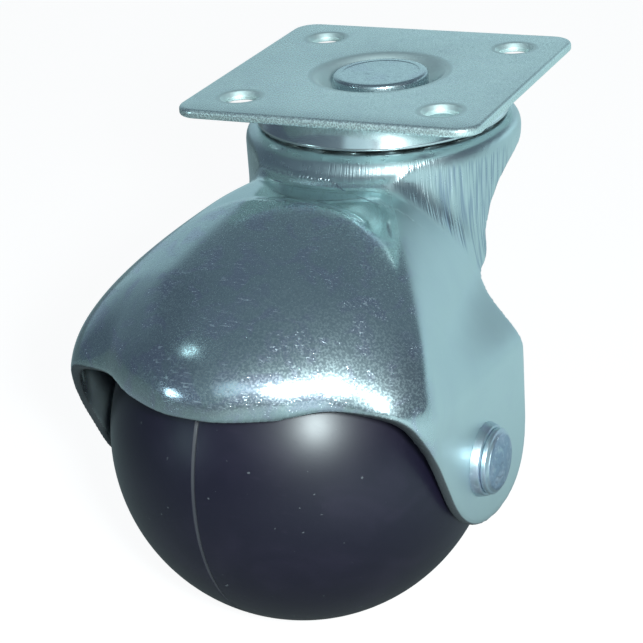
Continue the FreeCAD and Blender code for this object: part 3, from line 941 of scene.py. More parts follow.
@dataclass(frozen=True)
class Dress:
    """How a mesh becomes a piece of the caster."""

    name: str
    body: Body
    slot: Slot
    nodes: tuple[str, ...]

    def place(self, mesh: Mesh, matrix: Matrix, material: Material) -> None:
        """Turns a mesh in millimetres into a piece that rides on its body.

        Args:
            mesh: the mesh in its own place.
            matrix: turns and moves it into the part's frame, in millimetres.
            material: its finish.
        """
        mesh.transform(Matrix.Scale(MM, 4) @ matrix)
        mesh.name = self.name
        mesh.materials.clear()
        mesh.materials.append(material)
        piece = bpy.data.objects.new(self.name, mesh)
        bpy.context.scene.collection.objects.link(piece)
        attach(piece, self.body.value)
        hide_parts(*self.nodes)
        LOG.info("%s rides on %s, %d faces", self.name, self.body.value, len(mesh.polygons))


def mesh_from(work: Work, name: str, merge: float = MERGE) -> Mesh:
    """Closes a working mesh.

    Args:
        work: the working mesh, which is freed.
        name: name of the mesh.
        merge: distance in millimetres under which corners join.

    Returns:
        A mesh with outward faces and smooth shading that breaks at sharp edges.
    """
    bmesh.ops.remove_doubles(work, verts=work.verts, dist=merge)
    bmesh.ops.recalc_face_normals(work, faces=work.faces)
    mesh = bpy.data.meshes.new(name)
    work.to_mesh(mesh)
    work.free()
    mesh.shade_smooth()
    mesh.set_sharp_from_angle(angle=SHARP_ANGLE)
    return mesh


def arc_points(profile: Profile, corner: int, radius: float, steps: int) -> Profile:
    """Rounds one corner of a closed profile.

    Args:
        profile: the corners.
        corner: index of the corner.
        radius: radius of the rounding.
        steps: pieces of the arc.

    Returns:
        Points of the arc, or the corner itself where it isn't rounded.
    """
    here = Vector(profile[corner])
    back = (Vector(profile[corner - 1]) - here).normalized()
    onward = (Vector(profile[(corner + 1) % len(profile)]) - here).normalized()
    angle = back.angle(onward)
    if radius <= 0.0 or angle > STRAIGHT_ANGLE:
        return [tuple(here)]
    run = radius / math.tan(angle / 2)
    start = here + back * run
    end = here + onward * run
    middle = here + (back + onward).normalized() * (radius / math.sin(angle / 2))
    first = start - middle
    last = end - middle
    sweep = first.angle_signed(last)
    points = []
    for step in range(steps + 1):
        turn = -sweep * step / steps
        cosine, sine = math.cos(turn), math.sin(turn)
        spoke = Vector((first.x * cosine - first.y * sine, first.x * sine + first.y * cosine))
        points.append(tuple(middle + spoke))
    return points


def rounded(corners: Sequence[tuple[float, float, float]], steps: int = 5) -> Profile:
    """Rounds each corner (radius, height, rounding) of a closed profile.

    Args:
        corners: the corners in order.
        steps: pieces of each arc.

    Returns:
        The rounded profile.
    """
    plain = [(corner[0], corner[1]) for corner in corners]
    points: Profile = []
    for index, corner in enumerate(corners):
        points.extend(arc_points(plain, index, corner[2], steps))
    return points


def circle(middle: Vector, radius: float, steps: int) -> list[Vector]:
    """Points of a circle."""
    turns = [2 * math.pi * step / steps for step in range(steps)]
    return [middle + radius * Vector((math.cos(turn), math.sin(turn))) for turn in turns]


def bridge(work: Work, levels: Sequence[tuple[Sequence[Vector], float]], closed: bool) -> None:
    """Joins flat rings of points with faces.

    Args:
        work: the working mesh to add to.
        levels: points and height of each ring, all with the same number of points.
        closed: joins the last ring to the first.
    """
    rings = [[work.verts.new((point.x, point.y, height)) for point in points] for points, height in levels]
    pairs = list(zip(rings, rings[1:]))
    if closed:
        pairs.append((rings[-1], rings[0]))
    for first, second in pairs:
        for step in range(len(first)):
            after = (step + 1) % len(first)
            work.faces.new((first[step], first[after], second[after], second[step]))


def lathe(
    work: Work, profile: Profile, steps: int, closed: bool = True, middle: Sequence[float] = (0.0, 0.0)
) -> None:
    """Turns a profile round an upright axis.

    Args:
        work: the working mesh to add to.
        profile: points (radius, height).
        steps: facets round the axis.
        closed: joins the last point to the first.
        middle: place of the axis.
    """
    levels = [(circle(Vector(middle), radius, steps), height) for radius, height in profile]
    bridge(work, levels, closed)


def turned_mesh(name: str, profile: Profile, steps: int = 96) -> Mesh:
    """Makes a turned piece from its closed half section.

    Args:
        name: name of the mesh.
        profile: points (radius, height).
        steps: facets round the axis.

    Returns:
        The mesh, about the Z axis.
    """
    work = bmesh.new()
    lathe(work, profile, steps)
    bmesh.ops.remove_doubles(work, verts=work.verts, dist=MERGE)
    bmesh.ops.dissolve_degenerate(work, dist=MERGE, edges=work.edges)
    return mesh_from(work, name)


def ball_ring(name: str, ball: float, pitch: float, count: int, material: Material) -> Mesh:
    """Ring of bearing balls about Z, in the plane z = 0.

    Args:
        name: name of the ring.
        ball: diameter of a ball.
        pitch: diameter of the circle of their centres.
        count: number of balls.
        material: their finish.

    Returns:
        The ring as a plain mesh.
    """
    recipe = Recipe(name, {"Ball radius": ball / 2, "Pitch radius": pitch / 2, "Count": count})
    graph = recipe.graph
    inputs = {"Vertices": recipe.size("Count"), "Radius": recipe.size("Pitch radius")}
    places = graph.node("GeometryNodeMeshCircle", None, inputs)
    inputs = {"Segments": BALL_SEGMENTS, "Rings": BALL_RINGS, "Radius": recipe.size("Ball radius")}
    sphere = graph.node("GeometryNodeMeshUVSphere", None, inputs)
    inputs = {"Points": places.outputs[0], "Instance": sphere.outputs[0]}
    ring = graph.node("GeometryNodeInstanceOnPoints", None, inputs)
    recipe.finish(ring.outputs[0], material)
    return recipe.plain_mesh()


@dataclass
class SwivelPlate:
    """Screw plate with its kingpin, races and lower ball ring."""

    side: float = 41.6
    thick: float = 1.2
    corner: float = 3.2
    upper_edge: float = 0.5
    upper_steps: int = 5
    lower_edge: float = 0.3
    lower_steps: int = 4
    merge: float = 2e-3
    seat_fit: float = 0.03
    hole_pitch: float = 28.0
    hole_dia: float = 4.4
    hole_land: float = 0.3
    hole_round: float = 0.12
    hole_steps: int = 40
    mouth_dia: float = 5.3
    mouth_depth: float = 0.65
    mouth_land: float = 0.5
    mouth_round: float = 0.3
    throat_round: float = 0.15
    dish_dia: float = 19.6
    dish_land: float = 0.6
    dish_steps: int = 96
    dish_floor_dia: float = 15.2
    dish_depth: float = 2.0
    dish_spread: float = -0.5
    dish_foot: float = 6.6
    dish_round: float = 0.7
    floor_round: float = 0.9
    slope_steps: int = 16
    head_dia: float = 12.8
    head_rim: float = 1.1
    hollow_rim: float = 1.3
    hollow_depth: float = 0.05
    pin_dia: float = 8.0
    tenon_dia: float = 6.4
    tail_dia: float = 10.8
    tail_height: float = 1.6
    tail_bevel: float = 0.9
    race_thick: float = 1.2
    race_wall: float = 0.75
    race_inner: float = 16.26
    race_foot: float = -5.41
    race_slant: float = 1.7
    race_lip: float = 0.35
    race_steps: int = 128
    lower_land: float = -9.87
    lower_under: float = -11.67
    lower_ball_dia: float = 3.2
    lower_pitch: float = 19.2
    lower_ball_z: float = -8.87
    lower_balls: int = 16
    groove_sink: float = 0.6
    groove_depth: float = 0.62
    groove_flank: float = 0.4
    groove_share: float = 0.6
    cup_gap: float = 0.06
    cup_lift: float = 0.3
    cup_wall: float = 1.0
    cup_bevel: float = 0.5
    finish: dict[Slot, Material] = field(default_factory=dict)

    def outline(self, inset: float, corner_steps: int = 8) -> list[Vector]:
        """Rounded square of the plate, set in by a distance.

        Args:
            inset: the distance.
            corner_steps: pieces of each corner's arc.

        Returns:
            Points of the outline.
        """
        half = self.side / 2 - inset
        radius = self.corner - inset
        points = []
        for quarter, signs in enumerate(((1, 1), (-1, 1), (-1, -1), (1, -1))):
            middle = Vector(signs) * (half - radius)
            for step in range(corner_steps + 1):
                angle = math.radians(90 * quarter + 90 * step / corner_steps)
                points.append(middle + radius * Vector((math.cos(angle), math.sin(angle))))
        return points

    def hole_places(self) -> list[Vector]:
        """Centres of the four screw holes."""
        half = self.hole_pitch / 2
        return [Vector((x, y)) for x in (-half, half) for y in (-half, half)]

    def flat_face(self, work: Work, height: float, inset: float, dish: float, hole: float) -> None:
        """Fills a flat face of the plate round its dish and its holes.

        Args:
            work: the working mesh.
            height: level of the face.
            inset: how far the face stops short of the plate's side.
            dish: radius where the dish starts.
            hole: radius where a screw hole starts.
        """
        loops = [self.outline(inset), circle(Vector((0.0, 0.0)), dish, self.dish_steps)]
        loops += [circle(place, hole, self.hole_steps) for place in self.hole_places()]
        points: list[Vector] = []
        edges: list[tuple[int, int]] = []
        for loop in loops:
            start = len(points)
            points += loop
            edges += [(start + i, start + (i + 1) % len(loop)) for i in range(len(loop))]
        places, _, faces, *_ = delaunay_2d_cdt(points, edges, [], 1, 1e-5)
        corners = [work.verts.new((place.x, place.y, height)) for place in places]
        for face in faces:
            middle = sum((places[index] for index in face), Vector((0.0, 0.0))) / len(face)
            in_hole = any((middle - place).length < hole for place in self.hole_places())
            if middle.length > dish and not in_hole:
                work.faces.new([corners[index] for index in face])

    def sheet(self) -> Mesh:
        """Stamped plate: rounded edge, dish and four countersunk holes.

        Returns:
            The mesh.
        """
        work = bmesh.new()
        under = -self.thick
        dish_top = self.dish_dia / 2 + self.dish_spread
        dish_low = self.dish_dia / 2 + self.dish_land
        hole_top = self.mouth_dia / 2 + self.mouth_land
        hole_low = self.hole_dia / 2 + self.hole_land
        self.flat_face(work, 0.0, self.upper_edge, dish_top, hole_top)
        self.flat_face(work, under, self.lower_edge, dish_low, hole_low)
        self.rim(work, under)
        lathe(work, self.bowl(dish_top, dish_low, under), self.dish_steps, closed=False)
        mouth = self.mouth(hole_top, hole_low, under)
        for place in self.hole_places():
            lathe(work, mouth, self.hole_steps, closed=False, middle=place)
        return mesh_from(work, "plate_sheet", self.merge)

    def rim(self, work: Work, under: float) -> None:
        """Side of the plate with its rounded upper and lower edges.

        Args:
            work: the working mesh to add to.
            under: level of the under face.
        """
        levels = []
        for step in range(self.upper_steps + 1):
            turn = math.radians(90 * step / self.upper_steps)
            sink = self.upper_edge * (1 - math.cos(turn))
            levels.append((self.upper_edge * (1 - math.sin(turn)), -sink))
        for step in range(self.lower_steps + 1):
            turn = math.radians(90 * step / self.lower_steps)
            inset = self.lower_edge * (1 - math.cos(turn))
            levels.append((inset, under + self.lower_edge * (1 - math.sin(turn))))
        bridge(work, [(self.outline(inset), height) for inset, height in levels], closed=False)

    def bowl(self, top: float, low: float, under: float) -> Profile:
        """Section of the dish from the top face round to the under face.

        Args:
            top: radius where it meets the top face.
            low: radius where it meets the under face.
            under: level of the under face.

        Returns:
            Points (radius, height).
        """
        floor = self.dish_floor_dia / 2
        bore = self.pin_dia / 2 + self.seat_fit
        slope: Profile = []
        for step in range(self.slope_steps + 1):
            share = step / self.slope_steps
            sink = self.dish_depth * (1.0 - math.cos(math.pi * share)) / 2
            slope.append((top + (self.dish_foot - top) * share, -sink))
        corners = [
            (bore, -self.dish_depth, 0.0),
            (bore, under - self.dish_depth, 0.0),
            (floor, under - self.dish_depth, self.floor_round),
            (self.dish_dia / 2, under, self.dish_round),
            (low, under, 0.0),
        ]
        return slope + rounded(corners, 6)

    def mouth(self, top: float, low: float, under: float) -> Profile:
        """Section of a screw hole from the top face round to the under face.

        Args:
            top: radius where it meets the top face.
            low: radius where it meets the under face.
            under: level of the under face.

        Returns:
            Points (radius, height).
        """
        corners = [
            (top, 0.0, 0.0),
            (self.mouth_dia / 2, 0.0, self.mouth_round),
            (self.hole_dia / 2, -self.mouth_depth, self.throat_round),
            (self.hole_dia / 2, under, self.hole_round),
            (low, under, 0.0),
        ]
        return rounded(corners)

    def kingpin(self) -> Mesh:
        """Pivot rivet: flat head with a faint hollow, stepped shank and peened tail.

        Returns:
            The mesh.
        """
        tail = self.lower_under - self.tail_height
        profile = rounded([
            (0.0, tail, 0.0),
            (self.tail_dia / 2 - self.tail_bevel, tail, 0.5),
            (self.tail_dia / 2, tail + self.tail_bevel, 0.4),
            (self.tail_dia / 2, self.lower_under, 0.1),
            (self.tenon_dia / 2, self.lower_under, 0.0),
            (self.tenon_dia / 2, self.lower_land, 0.0),
            (self.pin_dia / 2, self.lower_land, 0.0),
            (self.pin_dia / 2, -self.dish_depth, 0.0),
            (self.head_dia / 2, -self.dish_depth, 0.12),
            (self.head_dia / 2, 0.0, 0.5),
            (self.head_dia / 2 - self.head_rim, 0.0, 0.2),
            (self.head_dia / 2 - self.hollow_rim, -self.hollow_depth, 0.2),
            (0.0, -self.hollow_depth, 0.0),
        ])
        return turned_mesh("kingpin", profile)

    def upper_race(self) -> Mesh:
        """Pressed cup with its skirt round the balls.

        Returns:
            The mesh.
        """
        outer = self.race_inner + self.race_wall
        roof = -self.thick - self.race_thick
        bore = self.dish_dia / 2 + self.seat_fit
        profile = rounded([
            (bore, roof, 0.1),
            (self.race_inner, roof, 2.2),
            (self.race_inner, self.race_foot, 0.25),
            (outer, self.race_foot, 0.15),
            (outer, self.race_foot + self.race_lip, 0.3),
            (outer - self.race_slant, -self.thick, 1.0),
            (bore, -self.thick, 0.1),
        ], 8)
        return turned_mesh("upper_race", profile, self.race_steps)

    def lower_race(self) -> Mesh:
        """Cup washer with an upturned rim, under the lower balls.

        Returns:
            The mesh.
        """
        ball = self.lower_ball_dia / 2
        reach = math.sqrt((ball + self.seat_fit) ** 2 - (ball - self.groove_sink) ** 2)
        side = reach * self.groove_share
        flank = self.lower_land - self.groove_flank
        pitch = self.lower_pitch / 2
        rim = pitch + ball + self.cup_gap
        outer = rim + self.cup_wall
        rim_top = self.lower_ball_z + self.cup_lift
        profile = rounded([
            (self.tenon_dia / 2, self.lower_under, 0.0),
            (outer - self.cup_bevel, self.lower_under, 0.2),
            (outer, self.lower_under + self.cup_bevel, 0.2),
            (outer, rim_top, 0.2),
            (rim, rim_top, 0.2),
            (rim, self.lower_land, 0.0),
            (pitch + reach, self.lower_land, 0.0),
            (pitch + side, flank, 0.0),
            (pitch, self.lower_land - self.groove_depth, 0.0),
            (pitch - side, flank, 0.0),
            (pitch - reach, self.lower_land, 0.0),
            (self.tenon_dia / 2, self.lower_land, 0.0),
        ])
        return turned_mesh("lower_race", profile)

    def build(self) -> None:
        """Makes and places every piece of the plate body."""
        steel = self.finish[Slot.BEARING_STEEL]
        ring = ball_ring("lower_ball_ring", self.lower_ball_dia, self.lower_pitch, self.lower_balls, steel)
        still = Matrix.Identity(4)
        level = Matrix.Translation((0.0, 0.0, self.lower_ball_z))
        pieces = (
            ("plate_sheet", Slot.ZINC_SHEET, "top_plate", self.sheet(), still),
            ("kingpin_rivet", Slot.ZINC_PIN, "kingpin", self.kingpin(), still),
            ("upper_race_cup", Slot.BRIGHT_RACE, "upper_race", self.upper_race(), still),
            ("lower_race_cup", Slot.ZINC_PIN, "lower_race", self.lower_race(), still),
            ("lower_ball_ring", Slot.BEARING_STEEL, "lower_balls", ring, level),
        )
        for name, slot, node, mesh, place in pieces:
            Dress(name, Body.PLATE, slot, (node,)).place(mesh, place, self.finish[slot])


class HoodRecipe(Recipe):
    """Geometry nodes that make the hood as a distance field and mesh it.

    LOW and HIGH are the field's corners. A turn is how far the surface turns at a rounding, in degrees.
    """

    LOW = (-27.5, -59.5, -49.6)
    HIGH = (27.5, 19.5, -4.9)
    BEND_TURN = 55.0
    SHOULDER_TURN = 35.0
    WAIST_TURN = 77.5
    LIP_TURN = 15.5
    PEAK_TURN = 74.5
    TOE_TURN = 59.0
    HOLE_ROUND = 0.15

    def __init__(self, form: HoodForm, voxel: float, material: Material) -> None:
        """Builds the tree.

        Args:
            form: the hood's sizes.
            voxel: spacing of the field in millimetres.
            material: the hood's finish.
        """
        super().__init__("drawn_hood", asdict(form))
        position = self.graph.node("GeometryNodeInputPosition").outputs[0]
        x, y, z = self.graph.axes(position)
        envelope, radius, flank = self.envelope(abs(x), y, z)
        outline = self.side_view(y, z)
        envelope = envelope + self.roll(outline, abs(x), y, z) + self.step(abs(x), y, radius)
        shell = envelope.most(-envelope - self.size("sheet"))
        shell = self.crown(shell, radius, z)
        trimmed = round_cut(shell, outline, self.size("edge_round"))
        axle = length_of(y - self.size("axle_y"), z - self.size("axle_z"))
        solid = round_cut(trimmed, self.size("axle_hole") - axle, self.HOLE_ROUND)
        counts = [int((high - low) / voxel) for low, high in zip(self.LOW, self.HIGH)]
        inputs = {"Density": 0.5 - solid * 0.5, "Background": 0.0, "Min": self.LOW, "Max": self.HIGH}
        inputs |= {f"Resolution {axis}": count for axis, count in zip("XYZ", counts)}
        volume = self.graph.node("GeometryNodeVolumeCube", None, inputs)
        inputs = {"Volume": volume.outputs[0], "Threshold": 0.5, "Adaptivity": 0.0}
        mesh = self.graph.node("GeometryNodeVolumeToMesh", {"resolution_mode": "GRID"}, inputs)
        marked = mesh.outputs[0]
        for name, field_value in ((EDGE_DISTANCE, outline), (FLANK_SIDE, flank)):
            inputs = {"Geometry": marked, "Name": name, "Value": field_value}
            marked = self.graph.node("GeometryNodeStoreNamedAttribute", None, inputs).outputs[0]
        self.finish(marked, material)

    def envelope(self, x: Value, y: Value, z: Value) -> tuple[Value, Value, Value]:
        """Distance to the hood's outside, before it is hollowed and trimmed.

        Args:
            x: distance from the middle plane.
            y: place from front to back.
            z: height.

        Returns:
            The distance, the distance from the swivel axis, and how far the place is on the flank's side.
        """
        size = self.size
        fall = size("shoulder_top") - size("ear_top")
        share = ((size("shoulder_top") - z) / fall).clamped()
        left = (1.0 - share).most(1e-4)
        side_swing = 1.0 - left ** size("side_fullness")
        nose_swing = 1.0 - left ** size("nose_fullness")
        side_span = size("ear_outer") - size("shoulder_half")
        corner_y0 = size("shoulder_front") + size("shoulder_back")
        corner_x = size("shoulder_half") + side_span * side_swing
        corner_y = corner_y0 + (size("bend_y") - corner_y0) * side_swing
        nose_span = size("nose_y") - size("shoulder_front")
        front = size("shoulder_front") + nose_span * nose_swing
        side_slope = side_span * size("side_fullness") * left ** (size("side_fullness") - 1.0) / fall
        nose_slope = nose_span * size("nose_fullness") * left ** (size("nose_fullness") - 1.0) / fall
        sagitta = corner_y - front
        arc = (corner_x * corner_x + sagitta * sagitta) / (2.0 * sagitta)
        toe = size("toe_in") * (1.0 - share.ramp(size("toe_start"), 1.0)) * math.radians(1.0)
        across = (x - corner_x) * toe.math("COSINE") + (y - corner_y) * toe.math("SINE")
        across = across / (1.0 + side_slope * side_slope).root()
        ahead = length_of(x, (y - front - arc).least(0.0)) - arc
        ahead = ahead / (1.0 + nose_slope * nose_slope).root()
        dome = round_cut(across, ahead, size("bend_radius"), self.BEND_TURN)
        dome = round_cut(dome, z - size("shoulder_top"), size("shoulder_round"), self.SHOULDER_TURN)
        radius = length_of(x, y)
        neck = round_cut(radius - size("neck_radius"), z - size("crown_top"), size("neck_round"))
        return round_union(dome, neck, size("neck_fillet")), radius, across - ahead

    def crown(self, shell: Value, radius: Value, z: Value) -> Value:
        """Adds the ball groove's swell to the crown and cuts the groove and the kingpin's hole.

        Args:
            shell: distance field of the sheet.
            radius: distance from the swivel axis.
            z: height.

        Returns:
            The sheet's field with its crown.
        """
        size = self.size
        ring = length_of(radius - size("groove_pitch"), z - size("groove_level"))
        swell = (ring - size("groove_radius") - size("sheet")).most(z - size("crown_top"))
        return shell.least(swell).most(size("groove_radius") - ring).most(size("crown_bore") - radius)

    def roll(self, outline: Value, x: Value, y: Value, z: Value) -> Value:
        """How far the edges of the waist and of the dome's rim roll inwards.

        Args:
            outline: distance from the outline's edge.
            x: distance from the middle plane.
            y: place from front to back.
            z: height.

        Returns:
            The distance, which fades away from the edge and down the ear.
        """
        size = self.size
        high = z.ramp(size("roll_low"), size("roll_high"))
        front = y.ramp(size("roll_back"), size("roll_front"))
        waist = (1.0 + outline / size("waist_reach")).clamped()
        rim = (1.0 + outline / size("rim_reach")).clamped()
        wide = x.ramp(size("roll_middle"), size("roll_corner"))
        fade = x.ramp(size("roll_end"), size("roll_fade"))
        rim_depth = (size("nose_roll") + (size("rim_roll") - size("nose_roll")) * wide) * fade
        waist_share = waist * waist * size("waist_roll") * (1.0 - front)
        return (waist_share + rim * rim * rim_depth * front) * high

    def step(self, x: Value, y: Value, radius: Value) -> Value:
        """How far the shoulder is pressed in behind its arched step.

        Args:
            x: distance from the middle plane.
            y: place from front to back.
            radius: distance from the swivel axis.

        Returns:
            The distance, which fades towards the neck and the flanks.
        """
        size = self.size
        bend = (x - size("step_flat")).most(0.0)
        past = y - size("step_y") + bend * bend * size("step_curl")
        behind = past.ramp(-size("step_width"), size("step_width")) * y.ramp(0.0, size("step_back"))
        inside = 1.0 - x.ramp(size("step_inner"), size("step_outer"))
        return behind * inside * radius.ramp(size("step_foot"), size("step_start")) * size("step_sink")

    def side_view(self, y: Value, z: Value) -> Value:
        """Distance to the hood's outline in side view: arch, waist, ear, rim and lip.

        Args:
            y: place from front to back.
            z: height.

        Returns:
            The distance, negative inside.
        """
        size = self.size
        upper = round_union(size("arch_top") - z, y - size("arch_front"), size("arch_radius"))
        waist = self.line(y, z, ("arch_front", "waist_z"), ("ear_back", "waist_z"), drop="waist_step")
        upper = round_cut(upper, waist, size("waist_round"), self.WAIST_TURN)
        ear = round_union(upper, y - size("ear_back"), size("ear_crest"), self.WAIST_TURN)
        ear = round_cut(ear, size("ear_foot") - z, size("ear_round"))
        front = self.line(y, z, ("ear_toe", "ear_foot"), ("peak_y", "peak_z"))
        brow = self.line(y, z, ("peak_y", "peak_z"), ("lip_y", "lip_z"))
        lip = round_cut(brow, size("lip_z") - z, size("rim_round"), self.LIP_TURN)
        rim = round_union(front, lip, size("peak_round"), self.PEAK_TURN)
        return round_cut(ear, rim, size("toe_round"), self.TOE_TURN)

    def line(
        self, y: Value, z: Value, start: tuple[str, str], end: tuple[str, str], drop: str = ""
    ) -> Value:
        """Distance below a line of the side view, negative above it.

        Args:
            y: place from front to back.
            z: height.
            start: names of the line's rear point.
            end: names of its front point.
            drop: name of a size that lowers the front point.

        Returns:
            The distance.
        """
        end_z = self.size(end[1]) - self.size(drop) if drop else self.size(end[1])
        run = self.size(end[0]) - self.size(start[0])
        rise = end_z - self.size(start[1])
        reach = length_of(run, rise)
        return ((y - self.size(start[0])) * -rise + (z - self.size(start[1])) * run) / reach


@dataclass
class HoodedFork:
    """Drawn hood with its axle rivet, washers, bush and upper ball ring."""

    form: HoodForm = field(default_factory=HoodForm)
    voxel: float = 0.385
    ear_inner: float = 24.3
    washer_dia: float = 9.6
    washer_thick: float = 1.15
    washer_slant: float = 0.35
    head_dia: float = 8.4
    head_thick: float = 1.4
    head_bevel: float = 0.7
    head_dome: float = 0.5
    head_lip: float = 0.35
    lip_drop: float = 0.1
    dome_inset: float = 0.6
    dome_steps: int = 8
    pin_steps: int = 72
    shank_dia: float = 5.9
    bush_dia: float = 8.0
    bush_steps: int = 64
    seat_fit: float = 0.03
    ball_dia: float = 4.4
    balls: int = 18
    finish: dict[Slot, Material] = field(default_factory=dict)
    peened: Material | None = None

    def swivel(self) -> Matrix:
        """Turn of the fork about the swivel axis."""
        return Matrix.Rotation(math.radians(-FORK_TURN), 4, "Z")

    def axle(self) -> Matrix:
        """Takes a piece turned about Z to the axle."""
        place = Matrix.Translation((0.0, self.form.axle_y, self.form.axle_z))
        return self.swivel() @ place @ Matrix.Rotation(math.radians(90.0), 4, "Y")

    def rivet(self) -> Mesh:
        """Axle rivet with a domed, peened head at each end.

        Returns:
            The mesh, about the Z axis.
        """
        seat = self.form.ear_outer + self.washer_thick
        end = seat + self.head_thick
        head = self.head_dia / 2
        shank = self.shank_dia / 2
        half = [
            (shank, seat, 0.0),
            (head, seat, 0.3),
            (head, end - self.head_bevel, 0.3),
            (head - self.head_lip, end - self.head_dome - self.lip_drop, 0.15),
        ]
        for step in range(self.dome_steps):
            spread = (head - self.dome_inset) * (1.0 - step / self.dome_steps)
            half.append((spread, end - self.head_dome * (spread / head) ** 2, 0.0))
        upper = [*half, (0.0, end, 0.0)]
        lower = [(0.0, -end, 0.0), *[(r, -z, c) for r, z, c in reversed(half)]]
        return turned_mesh("axle_rivet", rounded([*lower, *upper]), self.pin_steps)

    def washer(self, side: Side) -> Mesh:
        """Washer between an ear and the rivet's head.

        Args:
            side: the ear's side.

        Returns:
            The mesh, about the Z axis.
        """
        inner = side.value * self.form.ear_outer
        outer = side.value * (self.form.ear_outer + self.washer_thick)
        bore = self.shank_dia / 2 + self.seat_fit
        profile = rounded([
            (bore, inner, 0.0),
            (self.washer_dia / 2, inner, 0.1),
            (self.washer_dia / 2 - self.washer_slant, outer, 0.3),
            (bore, outer, 0.0),
        ])
        return turned_mesh("washer", profile, self.pin_steps)

    def bush(self) -> Mesh:
        """Tube between the ears, which the ball turns on.

        Returns:
            The mesh, about the Z axis.
        """
        bore = self.shank_dia / 2 + self.seat_fit
        outer = self.bush_dia / 2
        profile = rounded([
            (bore, -self.ear_inner, 0.0),
            (outer, -self.ear_inner, 0.2),
            (outer, self.ear_inner, 0.2),
            (bore, self.ear_inner, 0.0),
        ])
        return turned_mesh("bush", profile, self.bush_steps)

    def build(self) -> None:
        """Makes and places every piece of the fork body."""
        zinc = self.finish[Slot.ZINC_HOOD]
        steel = self.finish[Slot.BEARING_STEEL]
        turned = self.finish[Slot.ZINC_PIN]
        hood = HoodRecipe(self.form, self.voxel, zinc).plain_mesh()
        pitch = self.form.groove_pitch * 2
        ring = ball_ring("upper_ball_ring", self.ball_dia, pitch, self.balls, steel)
        level = self.swivel() @ Matrix.Translation((0.0, 0.0, self.form.groove_level))
        pieces = [
            ("drawn_hood", Slot.ZINC_HOOD, "hood_fork", hood, self.swivel(), zinc),
            ("axle_rivet_turned", Slot.ZINC_PIN, "axle_rivet", self.rivet(), self.axle(), self.peened),
        ]
        for side in Side:
            end = side.name.lower()
            washer = self.washer(side)
            node = f"axle_washer_{end}"
            pieces.append((f"washer_{end}", Slot.ZINC_PIN, node, washer, self.axle(), self.peened))
        pieces += [
            ("bush_tube", Slot.ZINC_PIN, "spanner_bush", self.bush(), self.axle(), turned),
            ("upper_ball_ring", Slot.BEARING_STEEL, "upper_balls", ring, level, steel),
        ]
        for name, slot, node, mesh, place, material in pieces:
            Dress(name, Body.FORK, slot, (node,)).place(mesh, place, material)


@dataclass
class BallWheel:
    """Black ball in two moulded halves."""

    radius: float = 25.0
    wall: float = 3.0
    hub_half: float = 24.0
    hub_dia: float = 16.0
    bore: float = 4.05
    seam_shift: float = 1.5
    seam_groove: float = 0.3
    seam_gap: float = 1e-3
    steps: int = 160
    skin_steps: int = 56
    lining_steps: int = 30
    finish: dict[Slot, Material] = field(default_factory=dict)

    def half(self, side: Side) -> Mesh:
        """One half of the ball: outer skin, hub face, hub tube and inner wall.

        Args:
            side: the half's side.

        Returns:
            The mesh, about the Z axis.
        """
        way = side.value
        seam = -self.seam_shift
        edge = seam + way * self.seam_groove
        inner = self.radius - self.wall
        skin = self.meridian(self.radius, edge, way * self.hub_half, self.skin_steps)
        hub = self.hub_dia / 2
        root = way * math.sqrt(inner ** 2 - hub ** 2)
        lining = self.meridian(inner, root, seam + way * self.seam_gap, self.lining_steps)
        rim = math.sqrt(self.radius ** 2 - edge ** 2) - self.seam_groove
        profile = [(self.bore, seam), (hub, seam), *lining, (rim, seam), *skin]
        profile.append((self.bore, way * self.hub_half))
        return turned_mesh("ball_half", profile, self.steps)

    @staticmethod
    def meridian(radius: float, start: float, end: float, steps: int) -> Profile:
        """Points along a sphere's meridian between two places on its axis.

        Args:
            radius: the sphere's radius.
            start: first place.
            end: last place.
            steps: pieces of the arc.

        Returns:
            Points (radius, height).
        """
        first = math.asin(max(-1.0, min(1.0, start / radius)))
        last = math.asin(max(-1.0, min(1.0, end / radius)))
        points = []
        for step in range(steps + 1):
            turn = first + (last - first) * step / steps
            points.append((radius * math.cos(turn), radius * math.sin(turn)))
        return points

    def build(self, axle: Matrix) -> None:
        """Makes and places both halves.

        Args:
            axle: takes a piece turned about Z to the axle.
        """
        material = self.finish[Slot.BLACK_PLASTIC]
        for side in Side:
            name = side.name.lower()
            dress = Dress(f"ball_{name}", Body.WHEEL, Slot.BLACK_PLASTIC, (f"wheel_{name}_half",))
            dress.place(self.half(side), axle, material)


@dataclass(frozen=True)
class Wall:
    """A pale or dark wall of the room: where it stands, how it fades sideways and upwards, in degrees."""

    azimuth: float
    core: float
    reach: float
    full_height: float
    end_height: float
    strength: float
    lean: float = 0.0

    def light(self, x: Value, y: Value, z: Value) -> Value:
        """Light that comes from the wall in a direction. A leaning wall is lower on the right.

        Args:
            x: the direction's part to the right.
            y: its part to the back.
            z: its part upwards.

        Returns:
            The light, negative for a dark wall.
        """
        way = compass(self.azimuth, 0.0)
        near = (x * way.x + y * way.y) / length_of(x, y).most(1e-3)
        edge, core = (math.cos(math.radians(angle)) for angle in (self.reach, self.core))
        end, full = (math.sin(math.radians(angle)) for angle in (self.end_height, self.full_height))
        return near.ramp(edge, core) * (z + x * self.lean).ramp(end, full) * self.strength


@dataclass(frozen=True)
class Panel:
    """A small pale panel of the room, in degrees. The core is the evenly lit share of its reach."""

    azimuth: float
    elevation: float
    reach: float
    strength: float
    core: float = 0.6

    def light(self, x: Value, y: Value, z: Value) -> Value:
        """Light that comes from the panel in a direction.

        Args:
            x: the direction's part to the right.
            y: its part to the back.
            z: its part upwards.

        Returns:
            The light.
        """
        way = compass(self.azimuth, self.elevation)
        edge, core = (math.cos(math.radians(angle)) for angle in (self.reach, self.reach * self.core))
        return (x * way.x + y * way.y + z * way.z).ramp(edge, core) * self.strength


